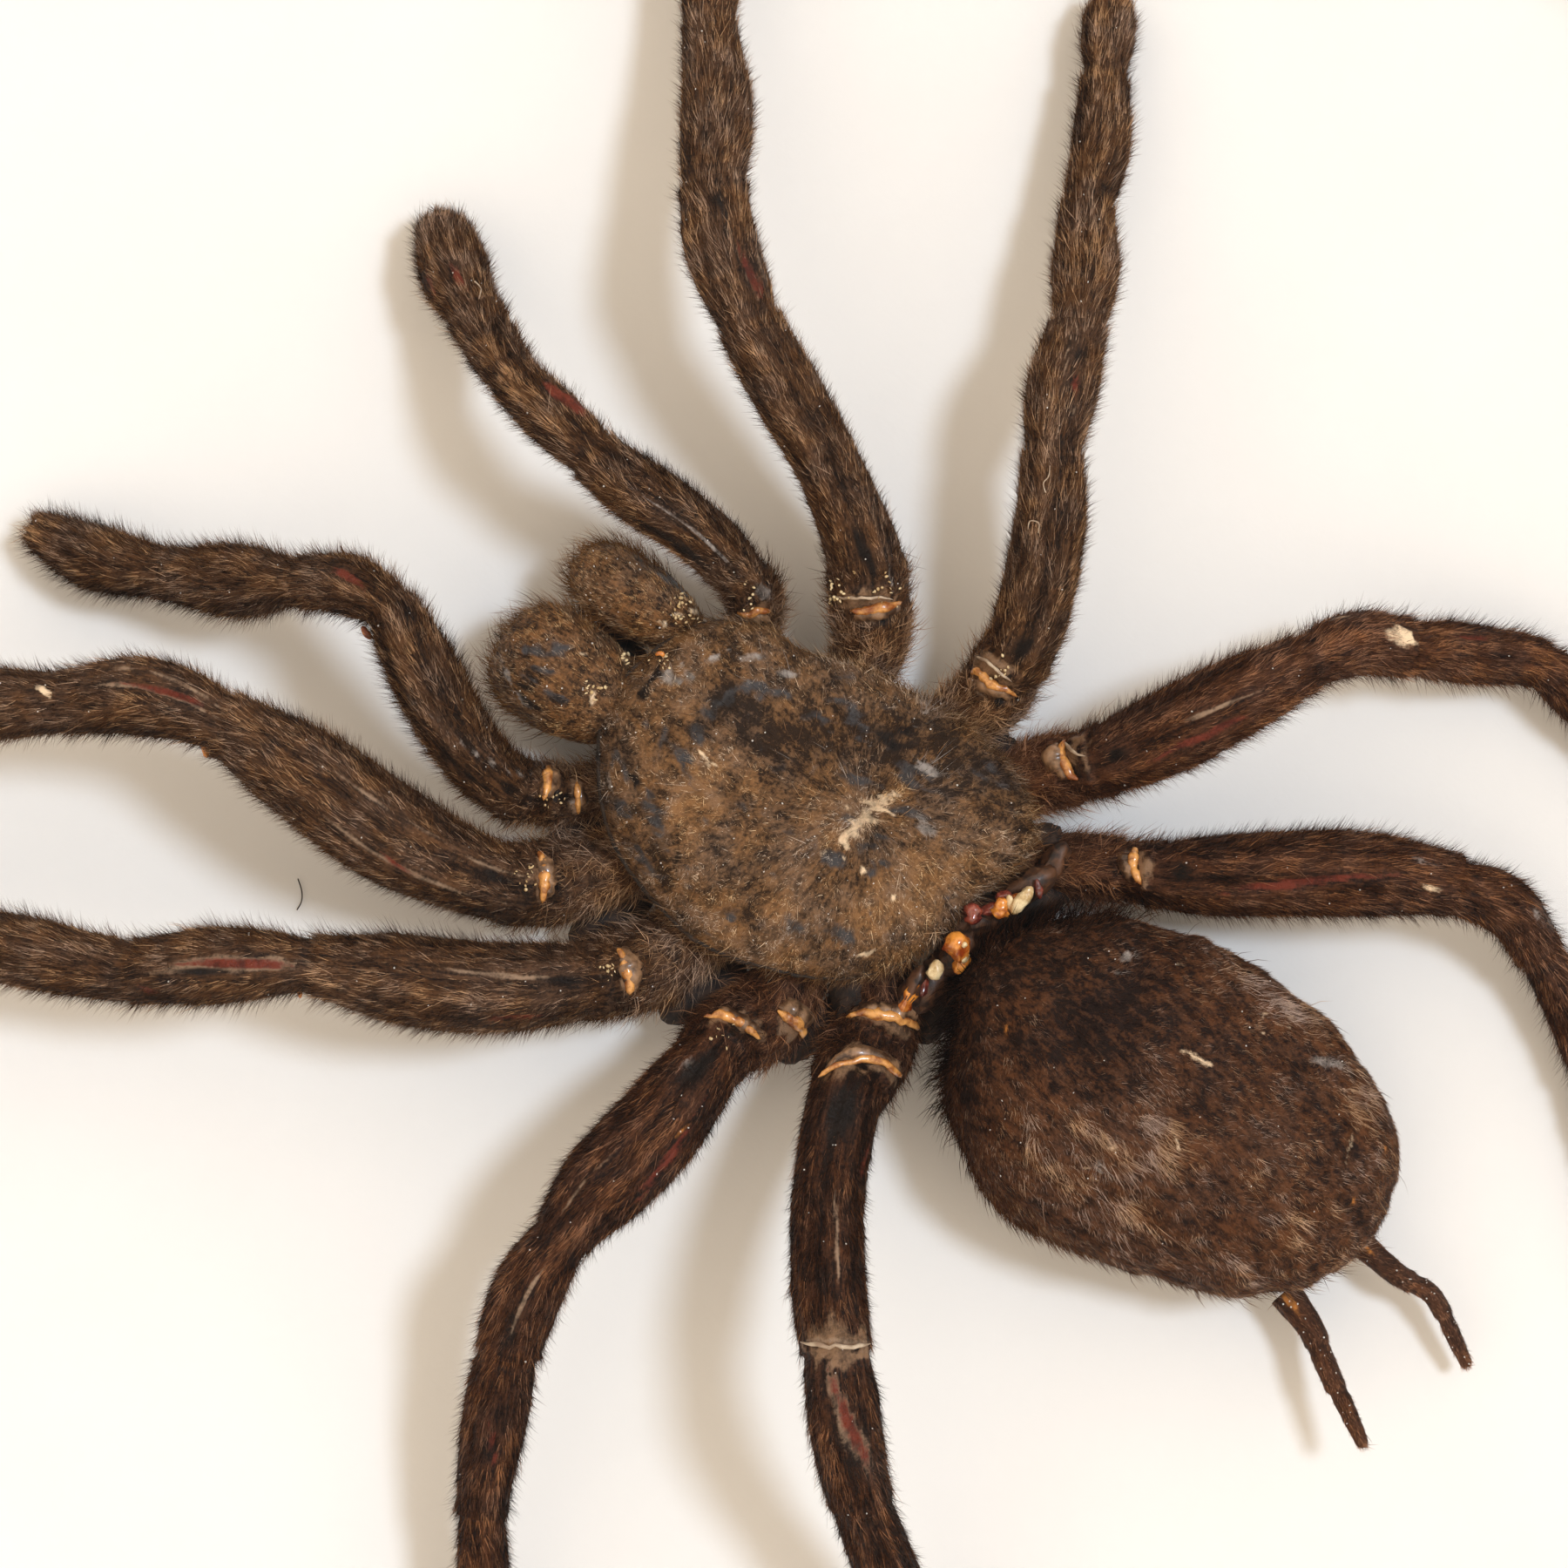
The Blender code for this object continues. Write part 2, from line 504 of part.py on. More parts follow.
def add_lofted_body(name, margin, middle, profile, material, collection):
    """A sphere whose rings take a profile from the underside to the top, and the margin's outline."""
    rings = len(profile) - 1
    form = sphere_form(BODY_AROUND, rings)
    for point in form.verts:
        latitude = math.acos(max(-1.0, min(1.0, -point.co.z)))
        share, height = profile[round(latitude / math.pi * rings)]
        angle = math.atan2(point.co.y, point.co.x)
        reach = share * margin_reach(margin, middle, angle) if share else 0.0
        point.co = Vector((
            middle[0] + reach * math.cos(angle),
            middle[1] + reach * math.sin(angle),
            CARD_FRONT + height,
        )) * MM
    return add_mesh(name, form, material, collection)


def squared(value, power):
    """A sine or cosine made fuller by a power under 1, keeping its sign."""
    return math.copysign(abs(value) ** power, value)


def abdomen_profile():
    rows = []
    for ring in range(ABDOMEN_RINGS + 1):
        angle = math.pi * (ring / ABDOMEN_RINGS - 0.5)
        rise = squared(math.sin(angle), ABDOMEN_SQUARENESS)
        half_height = ABDOMEN_TOP - ABDOMEN_WIDEST if rise > 0 else ABDOMEN_WIDEST - ABDOMEN_BOTTOM
        share = squared(max(math.cos(angle), 0.0), ABDOMEN_SQUARENESS)
        rows.append((share if 0 < ring < ABDOMEN_RINGS else 0.0, ABDOMEN_WIDEST + rise * half_height))
    return rows


def add_chelicera(name, middle, half_sizes, turn_degrees, material, collection):
    form = sphere_form(CHELICERA_AROUND, CHELICERA_RINGS)
    turn = Matrix.Rotation(math.radians(turn_degrees), 3, "Z")
    for point in form.verts:
        form_point = Vector([
            squared(share, CHELICERA_SQUARENESS) * half for share, half in zip(point.co, half_sizes)
        ])
        point.co = (turn @ form_point + Vector(middle) + Vector((0, 0, CARD_FRONT))) * MM
    return add_mesh(name, form, material, collection)


def add_specimen(materials, collection, cutters):
    cephalothorax = add_lofted_body(
        "cephalothorax", CARAPACE_MARGIN, CARAPACE_MIDDLE, CEPHALOTHORAX_PROFILE,
        materials["carapace"], collection,
    )
    for number, (start, end, radius) in enumerate(PEDICEL_PARTS, start=1):
        start, end = (Vector(place) + Vector((0, 0, CARD_FRONT)) for place in (start, end))
        form = cylinder_form(radius, start, end, PEDICEL_SIDES)
        add_boolean(cephalothorax, add_cutter(f"pedicel_form_{number}", form, cutters), "UNION")
    abdomen = add_lofted_body(
        "abdomen", ABDOMEN_MARGIN, ABDOMEN_MIDDLE, abdomen_profile(), materials["body_fur"], collection
    )
    lobes = [
        add_chelicera(name, *shape, materials["carapace"], collection)
        for name, shape in CHELICERAE.items()
    ]
    for body in [cephalothorax, abdomen, *lobes]:
        body.data.shade_smooth()
    for name, stations in {**LEGS, **PALPS, **SPINNERETS}.items():
        add_limb(name, stations, materials["limb_fur"], collection)


def main():
    for thing in list(bpy.data.objects):
        bpy.data.objects.remove(thing, do_unlink=True)
    collection = make_collection("framed_tarantula")
    cutters = make_collection("cutters")
    materials = {name: make_material(name) for name in FINISHES}

    add_frame(materials, collection, cutters)
    add_sheet("glass_pane", GLASS_BACK, GLASS_FRONT, materials["glass"], collection)
    add_sheet("backing_card", CARD_BACK, CARD_FRONT, materials["white_card"], collection)
    panel = add_sheet("back_panel", BACK_RECESS, PANEL_FRONT, materials["hardboard"], collection)
    add_spacers(materials["white_card"], collection)
    add_tabs(materials["zinc_steel"], collection)
    add_hanger(materials["zinc_steel"], collection)
    add_pins(panel, materials["zinc_steel"], collection, cutters)
    add_specimen(materials, collection, cutters)


main()
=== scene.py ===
import math

import bpy
import numpy as np
from mathutils import Matrix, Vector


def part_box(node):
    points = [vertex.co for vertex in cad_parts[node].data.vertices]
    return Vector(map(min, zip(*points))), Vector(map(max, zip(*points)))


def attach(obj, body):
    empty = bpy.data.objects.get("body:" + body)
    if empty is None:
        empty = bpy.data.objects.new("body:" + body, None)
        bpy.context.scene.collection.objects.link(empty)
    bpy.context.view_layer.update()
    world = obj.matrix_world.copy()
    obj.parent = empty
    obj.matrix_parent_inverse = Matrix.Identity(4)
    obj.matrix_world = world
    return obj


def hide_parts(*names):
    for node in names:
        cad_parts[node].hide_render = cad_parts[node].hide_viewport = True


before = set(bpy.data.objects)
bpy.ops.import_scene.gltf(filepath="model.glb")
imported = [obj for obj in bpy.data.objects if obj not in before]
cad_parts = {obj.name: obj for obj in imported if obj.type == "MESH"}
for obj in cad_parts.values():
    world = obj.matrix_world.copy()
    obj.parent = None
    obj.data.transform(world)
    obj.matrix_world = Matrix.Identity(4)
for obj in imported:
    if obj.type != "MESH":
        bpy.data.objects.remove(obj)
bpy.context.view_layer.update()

mm = 0.001
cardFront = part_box("backing_card")[1].z / mm  # the board that the spider lies on
up = np.array((0.0, 0.0, 1.0))


# Numbers and directions, for many points at once

def lengthOf(vectors):
    return np.linalg.norm(vectors, axis=-1, keepdims=True)


def unit(vectors):
    return vectors / np.maximum(lengthOf(vectors), 1e-9)


def smoothStep(low, high, value):
    share = np.clip((value - low) / (high - low), 0.0, 1.0)
    return share * share * (3 - 2 * share)


# Smooth uneven waves about size millimetres long, from about -1 to 1
def ripples(points, size, seed):
    waves, rng = 16, np.random.default_rng(seed)
    pitch = 2 * math.pi / size * rng.uniform(0.6, 1.7, (waves, 1))
    turns = unit(rng.normal(size=(waves, 3))) * pitch
    phases = rng.uniform(0, 2 * math.pi, waves)
    return np.sin(points @ turns.T + phases).sum(axis=-1) / math.sqrt(2 * waves)


# Ripples on top of each other: how high, how long and from which seed each is
def unevenness(points, *waves):
    return sum(height * ripples(points, size, seed) for height, size, seed in waves)


# From start to finish, given how fast the curve leaves the one and arrives at the other
def curveBetween(start, finish, leave, arrive, share):
    square, cube = share ** 2, share ** 3
    return (
        start * (2 * cube - 3 * square + 1) + leave * (cube - 2 * square + share)
        + finish * (3 * square - 2 * cube) + arrive * (cube - square)
    )


# Heights above the card
def above(points):
    return points[..., 2] - cardFront


# Rows read from a smooth curve through the given rows, whole numbers being the rows
def readRows(rows, positions):
    rows = np.asarray(rows, float)
    start = np.clip(positions.astype(int), 0, len(rows) - 2)
    share = (positions - start)[:, None]
    a, b, c, d = (rows[np.clip(start + step, 0, len(rows) - 1)] for step in (-1, 0, 1, 2))
    span = lengthOf(c - b)
    before, after = lengthOf(b - a), lengthOf(d - c)
    leave = ((c - b) / span + (b - a) / np.where(before > 0, before, 1)) / 2 * span
    arrive = ((c - b) / span + (d - c) / np.where(after > 0, after, 1)) / 2 * span
    return curveBetween(b, c, leave, arrive, share)


# Materials

# A number in a material, which can be used in sums
class Amount:
    def __init__(self, graph, socket):
        self.graph, self.socket = graph, socket

    def maths(self, operation, first, second, clamp=False):
        return self.graph.add("Math", {"operation": operation, "use_clamp": clamp}, {0: first, 1: second})

    def __add__(self, other):
        return self.maths("ADD", self, other)

    def __sub__(self, other):
        return self.maths("SUBTRACT", self, other)

    def __rsub__(self, other):
        return self.maths("SUBTRACT", other, self)

    def __mul__(self, other):
        return self.maths("MULTIPLY", self, other)

    def __pow__(self, other):
        return self.maths("POWER", self, other)

    __radd__, __rmul__ = __add__, __mul__

    def clamped(self):
        return self.maths("ADD", self, 0.0, clamp=True)


# The nodes of a material, or of the surroundings
class Graph:
    def __init__(self, owner, shader="Principled BSDF", **constants):
        owner.use_nodes = True
        self.owner, self.tree = owner, owner.node_tree
        self.shader = self.tree.nodes[shader]
        self.set(**constants)

    def put(self, socket, value):
        if isinstance(value, Amount):
            self.tree.links.new(value.socket, socket)
        elif isinstance(value, tuple) and socket.type == "RGBA":
            socket.default_value = (*value, 1.0)
        else:
            socket.default_value = value

    def set(self, **inputs):
        for name, value in inputs.items():
            self.put(self.shader.inputs[name], value)

    # Any node: its settings first, then the values or links of its sockets
    def add(self, kind, settings=None, inputs=None, output=0):
        node = self.tree.nodes.new("ShaderNode" + kind)
        for name, value in (settings or {}).items():
            if name == "stops":
                self.placeStops(node.color_ramp, value)
            else:
                setattr(node, name, value)
        for name, value in (inputs or {}).items():
            self.put(node.inputs[name], value)
        return Amount(self, node.outputs[output])

    def placeStops(self, ramp, stops):
        while len(ramp.elements) < len(stops):
            ramp.elements.new(1.0)
        for element, (position, colour) in zip(ramp.elements, stops):
            element.position = position
            element.color = (*colour, 1.0)

    def read(self, name, output="Fac"):
        return self.add("Attribute", {"attribute_name": name}, output=output)

    def place(self, kind="Object"):
        return self.add("TexCoord", output=kind)

    def noise(self, vector, scale, detail=3.0, roughness=0.55):
        return self.add("TexNoise", inputs={
            "Vector": vector, "Scale": scale, "Detail": detail, "Roughness": roughness,
        })

    # Noise whose scale differs along the three axes
    def fibres(self, scale, detail=3.0, roughness=0.55):
        stretched = self.add("Mapping", inputs={"Vector": self.place(), "Scale": scale})
        return self.noise(stretched, 1.0, detail, roughness)

    def ramp(self, amount, *stops):
        return self.add("ValToRGB", {"stops": stops}, {0: amount})

    def mix(self, share, first, second, blend="MIX"):
        settings = {"data_type": "RGBA", "blend_type": blend}
        return self.add("Mix", settings, {0: share, 6: first, 7: second}, output=2)

    def band(self, amount, low, high):
        return self.add("MapRange", {"interpolation_type": "SMOOTHSTEP"}, {
            "Value": amount, "From Min": low, "From Max": high,
        })

    def bump(self, height, strength, distance):
        self.set(Normal=self.add("Bump", inputs={
            "Height": height, "Strength": strength, "Distance": distance,
        }))

    # Colours the surface and hands over the finished material
    def finish(self, colour, **inputs):
        self.set(**{"Base Color": colour, **inputs})
        return self.owner


def newMaterial(name, roughness=0.5, metallic=0.0, **constants):
    material = bpy.data.materials.new(name)
    return Graph(material, Roughness=roughness, Metallic=metallic, **constants)


# Shell and skin colours between and under the hair (linear)
skinLooks = {
    "limbSkin": {
        "dark": (0.012, 0.0052, 0.0022), "light": (0.105, 0.050, 0.023), "roughness": 0.50, "bump": 0.6,
        "mottle": (0.60, 0.25, 0.25),
    },
    "rearLimbSkin": {
        "dark": (0.0085, 0.0030, 0.0012), "light": (0.090, 0.034, 0.0145), "roughness": 0.50, "bump": 0.6,
        "mottle": (0.60, 0.25, 0.25),
    },
    "carapaceShell": {
        "dark": (0.023, 0.0120, 0.0060), "light": (0.245, 0.132, 0.063), "roughness": 0.52, "bump": 0.8,
        "mottle": (0.40, 0.34, 0.26),
    },
    "fangBaseSkin": {
        "dark": (0.018, 0.0088, 0.0040), "light": (0.215, 0.106, 0.045), "roughness": 0.52, "bump": 0.6,
        "mottle": (0.50, 0.30, 0.32),
    },
    "abdomenSkin": {
        "dark": (0.0100, 0.0034, 0.0012), "light": (0.110, 0.043, 0.0170), "roughness": 0.62, "bump": 0.4,
        "mottle": (0.60, 0.16, 0.24),
    },
}
# What a mark turns skin into, and how much glossier it gets. Later marks lie over earlier ones.
markLooks = {
    "bald": ((0.250, 0.145, 0.080), 0.26), "slate": ((0.064, 0.060, 0.062), 0.12),
    # frost: pale dust and hair on the body, and on the limbs a painted highlight on glossy skin
    "frost": ((0.360, 0.320, 0.290), 0.10), "tan": ((0.300, 0.200, 0.130), 0.10),
    "pale": ((0.93, 0.70, 0.46), 0.05), "dark": ((0.010, 0.0060, 0.0045), 0.28),
    "amber": ((0.54, 0.200, 0.040), 0.20), "red": ((0.150, 0.028, 0.014), 0.20),
}


# Patches of a golden and of a grey cast
def tinted(graph, colour, place):
    casts = graph.band(graph.noise(place, 480.0, 3.0, 0.6), 0.36, 0.66)
    return graph.mix(1.0, colour, graph.mix(casts, (1.07, 0.98, 0.79), (0.94, 1.00, 1.15)), "MULTIPLY")


def makeSkinMaterial(name, look):
    graph = newMaterial(name, **{"Specular IOR Level": 0.16})
    place = graph.place()
    streaks = graph.noise(graph.read("combed", "Vector"), 2.8, 5.0, 0.66)
    clouds = graph.noise(place, 900.0, 6.0, 0.72)
    grain = graph.noise(place, 5200.0, 2.0)
    long, broad, fine = look["mottle"]
    mottle = streaks * long + clouds * broad + grain * fine
    middle = (long + broad + fine) / 2
    shade = graph.band(mottle, middle - 0.11, middle + 0.13)
    colour = graph.mix((shade + 0.9 * graph.read("light")).clamped(), look["dark"], look["light"])
    colour = tinted(graph, colour, place)
    roughness = look["roughness"] + 0.16 * grain
    ragged = 1.7 * (streaks * 0.30 + clouds * 0.35 + grain * 0.35 - 0.5)
    for mark, (markColour, gloss) in markLooks.items():
        share = graph.band(graph.read(mark) + ragged, 0.30, 0.92)
        deep = tuple(part * 0.45 for part in markColour)
        colour = graph.mix(share, colour, graph.mix(graph.band(clouds, 0.38, 0.58), deep, markColour))
        roughness = roughness - gloss * share
    graph.bump(streaks * 0.5 + grain * 0.3 + clouds * 0.6, look["bump"], 0.0004)
    return graph.finish(colour, Roughness=roughness)


# Hair colours from a hair's dark root to the palest tips (linear), and how patchy they are
furLooks = {
    "frontFur": ((0.0082, 0.0036, 0.0015), (0.140, 0.0645, 0.0290), (0.60, 0.385, 0.235), 0.55),
    "rearFur": ((0.0066, 0.0025, 0.0010), (0.076, 0.0280, 0.0111), (0.42, 0.205, 0.105), 0.50),
    "carapaceFur": ((0.0195, 0.0101, 0.0050), (0.206, 0.107, 0.0485), (0.80, 0.600, 0.400), 0.40),
    "abdomenFur": ((0.0050, 0.0016, 0.0005), (0.094, 0.0345, 0.0130), (0.54, 0.375, 0.265), 0.22),
    "fangBaseFur": ((0.0118, 0.0056, 0.0025), (0.226, 0.107, 0.0420), (0.70, 0.485, 0.275), 0.45),
}
# Grey worn hair, from dark to pale, and pale hair: pale dust on the body's hair, and on the limbs a painted
# highlight
wornFur = (0.02, (0.012, 0.011, 0.012)), (0.5, (0.088, 0.084, 0.091)), (1.0, (0.44, 0.42, 0.41))
frostedAndSheenFur = (0.50, 0.45, 0.41)


def makeFurMaterial(name, colours):
    root, middle, tip, patchy = colours
    graph = newMaterial(name, 0.52, **{"Specular IOR Level": 0.06})
    place = graph.place()
    amount = graph.read("tone") + 0.30 * graph.read("tip") + 0.8 * graph.read("light")
    amount = amount + 0.50 * (graph.noise(place, 380.0, 3.0, 0.6) - 0.58)
    amount = (amount + patchy * (graph.noise(place, 1200.0, 3.0, 0.6) - 0.52)).clamped()
    colour = tinted(graph, graph.ramp(amount, (0.02, root), (0.50, middle), (1.0, tip)), place)
    worn = graph.ramp(amount, *wornFur)
    colour = graph.mix(0.85 * graph.read("slate"), colour, worn)
    # hair turns pale where frost is marked: pale dust on the body, painted highlights on the limbs
    return graph.finish(graph.mix(0.85 * graph.read("frost"), colour, frostedAndSheenFur))


def makeWood(name, along):
    graph = newMaterial(name, **{"Coat Weight": 0.25, "Coat Roughness": 0.3})
    scale = [900.0, 900.0, 900.0]
    scale[along] = 40.0
    grain = graph.fibres(scale, 5.0, 0.6)
    broad = graph.fibres([part / 9 for part in scale])
    pores = graph.band(grain, 0.56, 0.70)
    tone = graph.band(grain * 0.5 + broad * 0.6, 0.35, 0.80)
    colour = graph.mix(tone, (0.014, 0.0085, 0.0060), (0.050, 0.028, 0.017))
    graph.bump(1 - pores, 0.25, 0.0002)
    colour = graph.mix(pores * 0.7, colour, (0.008, 0.005, 0.004))
    return graph.finish(colour, Roughness=0.34 + 0.22 * grain)


def makeCard(name):
    graph = newMaterial(name, 0.9)
    fibres = graph.fibres((2600.0, 1500.0, 2600.0), 4.0, 0.6)
    clouds, felt = graph.noise(graph.place(), 60.0), graph.noise(graph.place(), 900.0, 2.0)
    tone = graph.band(clouds * 0.7 + fibres * 0.3, 0.3, 0.7)
    graph.bump(fibres * 0.5 + felt * 0.5, 0.10, 0.0002)
    return graph.finish(graph.mix(tone, (0.885, 0.872, 0.845), (0.915, 0.905, 0.880)))


def makeHardboard(name):
    graph = newMaterial(name)
    fibres = graph.fibres((500.0, 1400.0, 500.0), 6.0, 0.7)
    flecks = graph.band(graph.noise(graph.place(), 2200.0, 2.0), 0.60, 0.72)
    colour = graph.mix(graph.band(fibres, 0.3, 0.7), (0.150, 0.078, 0.036), (0.285, 0.165, 0.085))
    graph.bump(fibres, 0.30, 0.0003)
    colour = graph.mix(flecks * 0.6, colour, (0.090, 0.045, 0.022))
    return graph.finish(colour, Roughness=0.62 + 0.25 * fibres)


def makeZinc(name):
    graph = newMaterial(name, metallic=1.0)
    brushed = graph.fibres((300.0, 5000.0, 300.0))
    spangle = graph.add("TexVoronoi", inputs={"Vector": graph.place(), "Scale": 700.0}, output="Color")
    shade = graph.mix(graph.band(brushed, 0.3, 0.7), (0.44, 0.44, 0.45), (0.66, 0.66, 0.66))
    graph.bump(brushed, 0.12, 0.0001)
    return graph.finish(graph.mix(0.12, shade, spangle), Roughness=0.26 + 0.24 * brushed)


# Clear glass that lets light straight through, and mirrors more of it at flat angles
def makeGlass(name):
    graph = newMaterial(name)
    graph.tree.nodes.remove(graph.shader)
    flatness = graph.add("LayerWeight", inputs={"Blend": 0.5}, output="Facing")
    clear = graph.add("BsdfTransparent", inputs={"Color": (0.985, 0.993, 0.988)})
    mirror = graph.add("BsdfGlossy", inputs={"Roughness": 0.03})
    mirrored = 0.034  # the share at a straight look
    mirrored += (1 - mirrored) * flatness ** 5
    mixed = graph.add("MixShader", inputs={0: mirrored, 1: clear, 2: mirror})
    graph.put(graph.tree.nodes["Material Output"].inputs["Surface"], mixed)
    return graph.owner


# Small parts of one finish: dark and light colour, size of its clouds, roughness and coat
plainLooks = {
    "amberRim": ((0.26, 0.070, 0.014), (0.84, 0.40, 0.110), 1300.0, 0.24, 0.7),
    "orangeBead": ((0.30, 0.045, 0.006), (0.93, 0.36, 0.055), 1100.0, 0.18, 1.0),
    "rubyBead": ((0.085, 0.014, 0.010), (0.36, 0.075, 0.045), 1200.0, 0.16, 1.0),
    "creamCrumb": ((0.46, 0.28, 0.10), (0.90, 0.72, 0.42), 1500.0, 0.30, 0.5),
    "dustSpeck": ((0.55, 0.52, 0.48), (0.86, 0.84, 0.80), 900.0, 0.5, 0.0),
    "driedSkin": ((0.050, 0.022, 0.010), (0.330, 0.185, 0.095), 1300.0, 0.34, 0.4),
    "paleSkin": ((0.30, 0.20, 0.13), (0.58, 0.46, 0.33), 1200.0, 0.50, 0.0),
    # torn tissue, its own brown darkened as painted shade
    "shadedTornSkin": ((0.012, 0.0045, 0.0020), (0.110, 0.042, 0.015), 1500.0, 0.55, 0.1),
    # tissue in the deep gaps, coloured almost black as painted shade
    "shadedDeepSkin": ((0.008, 0.0038, 0.0018), (0.040, 0.019, 0.009), 1500.0, 0.80, 0.0),
    "darkRim": ((0.008, 0.005, 0.003), (0.030, 0.017, 0.010), 700.0, 0.75, 0.0),
    "studioFloor": ((0.70, 0.69, 0.67), (0.74, 0.73, 0.71), 8.0, 0.8, 0.0),
}


def makePlain(name, dark, light, scale, roughness, coat):
    graph = newMaterial(name, roughness, **{"Coat Weight": coat})
    clouds = graph.noise(graph.place(), scale, 4.0, 0.6)
    graph.bump(clouds, 0.3, 0.0002)
    return graph.finish(graph.mix(graph.band(clouds, 0.35, 0.65), dark, light))


# Meshes

def addPiece(name, points, faces, material, replaced=()):
    mesh = bpy.data.meshes.new(name)
    mesh.from_pydata(points * mm, [], faces)
    mesh.materials.append(material)
    piece = bpy.data.objects.new(name, mesh)
    bpy.context.scene.collection.objects.link(piece)
    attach(piece, "root")
    for node in replaced:
        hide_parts(node)
    return piece


def setPointValues(mesh, name, values):
    kind, field = ("FLOAT_VECTOR", "vector") if values.ndim == 2 else ("FLOAT", "value")
    attribute = mesh.attributes.new(name, kind, "POINT")
    attribute.data.foreach_set(field, values.astype(np.float32).ravel())


# A closed skin of rings, a row of points each, whose first and last ring are single points.
# Comb is the way its hair lies, combed is a place for streaks that run along the hair,
# and marks say how bald, dark, red and so on each point is, and how light its hair.
class Skin:
    def __init__(self, points, comb, combed):
        self.points, self.combed = points, combed
        ringStep = np.gradient(points, axis=0)
        aroundStep = np.roll(points, -1, axis=1) - np.roll(points, 1, axis=1)
        normals = np.cross(aroundStep, ringStep)
        for end, beside in ((0, 1), (-1, -2)):
            normals[end] = points[end] - points[beside].mean(axis=0)
        self.normals = unit(normals)
        self.comb = unit(comb - (comb * self.normals).sum(axis=-1, keepdims=True) * self.normals)
        self.marks = {name: np.zeros(points.shape[:2]) for name in (*markLooks, "light")}

    def mark(self, name, amount):
        self.marks[name] = np.maximum(self.marks[name], amount)

    # How much hair each point keeps beside its marks
    def haired(self, loss=0.95):
        bare = [self.marks[name] for name in ("bald", "tan", "pale", "dark", "red")]
        return 1 - loss * np.max(bare, axis=0)

    def build(self, name, material, slot, node):
        rings, around = self.points.shape[:2]
        flat = lambda values: np.concatenate([
            values[0, :1], values[1:-1].reshape(-1, *values.shape[2:]), values[-1, :1]
        ])
        index = 1 + np.arange((rings - 2) * around).reshape(rings - 2, around)
        after = np.roll(index, -1, axis=1)
        last = index.size + 1
        faces = [(0, b, a) for a, b in zip(index[0], after[0])]
        faces += [(a, b, last) for a, b in zip(index[-1], after[-1])]
        quads = np.stack([index[:-1], after[:-1], after[1:], index[1:]], axis=-1)
        faces += quads.reshape(-1, 4).tolist()
        mesh = addPiece(name, flat(self.points), faces, material, (node,)).data
        mesh.shade_smooth()
        for value, amounts in {"combed": self.combed, **self.marks}.items():
            setPointValues(mesh, value, flat(amounts))

    # Picks spots by area and by a weight for each point, and reads what the spots need
    def scatter(self, count, weight, rng):
        corners = lambda values: [
            values[:-1], np.roll(values, -1, axis=1)[:-1],
            np.roll(values, -1, axis=1)[1:], values[1:],
        ]
        a, b, c, d = corners(self.points)
        area = lengthOf(np.cross(c - a, d - b))[..., 0] * sum(corners(weight))
        chance = np.cumsum(area.ravel())
        picked = np.searchsorted(chance, rng.random(count) * chance[-1])
        across, along = rng.random((2, count))
        shares = [(1 - across) * (1 - along), across * (1 - along), across * along, (1 - across) * along]

        def read(values):
            flat = [corner.reshape(-1, *values.shape[2:])[picked] for corner in corners(values)]
            weights = [share.reshape(-1, *[1] * (values.ndim - 2)) for share in shares]
            return sum(value * share for value, share in zip(flat, weights))

        return read


# Thin bent rods of any number of points and a radius at each, as one mesh. Beads are short ones.
def addRods(name, rods, material, sides=7, rough=0.0):
    points, faces = [], []
    aslant, pits = (0.31, 0.17, 0.94), (0.45, 74)  # a way that no rod lies, and the waves on its skin
    turn = np.linspace(0, 2 * math.pi, sides, endpoint=False)[:, None]
    for middle, radii in rods:
        along = unit(np.gradient(middle, axis=0))
        aside = unit(np.cross(along, aslant))
        upward = np.cross(along, aside)
        first = sum(len(part) for part in points)
        for place, a, b, radius in zip(middle, aside, upward, radii):
            spokes = (a * np.cos(turn) + b * np.sin(turn)) * radius
            points.append(place + spokes * (1 + rough * ripples(place + spokes, *pits))[:, None])
        count = len(middle)
        ring = first + np.arange(count * sides).reshape(count, sides)
        after = np.roll(ring, -1, axis=1)
        quads = np.stack([ring[:-1], after[:-1], after[1:], ring[1:]], axis=-1).reshape(-1, 4)
        faces += quads.tolist() + [ring[0][::-1].tolist(), ring[-1].tolist()]
    addPiece(name, np.concatenate(points), faces, material).data.shade_smooth()


# A rod that swells from both ends, along points that are given
def taperedRod(middle, thickness):
    share, end = np.linspace(0, 1, len(middle)), 0.15
    return middle, thickness / 2 * np.maximum((4 * share * (1 - share)) ** 0.5, end)


# A bead about a place above the card: its half length and half width, and the way it lies
def bead(x, y, height, halfLength, halfWidth, degrees, steps=10):
    angle, turn = np.linspace(-math.pi / 2, math.pi / 2, steps), math.radians(degrees)
    rise, end = 0.12, 0.06
    way = np.array((math.cos(turn), math.sin(turn), rise))
    middle = np.array((x, y, cardFront + height)) + way * (np.sin(angle) * halfLength)[:, None]
    return middle, halfWidth * np.maximum(np.cos(angle), end)


# Hair

# What every coat has
hairForm = {
    "root": 0.06,  # how deep a hair's root lies
    "bend": 0.6,  # how much of its lift a hair keeps at the tip
    "middle": 0.75,  # how much of its width a bent hair keeps in the middle
    "roll": 1.4,  # the most that a hair rolls over
    "overCard": 0.05,  # how far hairs stay off the card
    "grainMiddle": 0.45,  # where a hair is neither darker nor paler than its streak
}
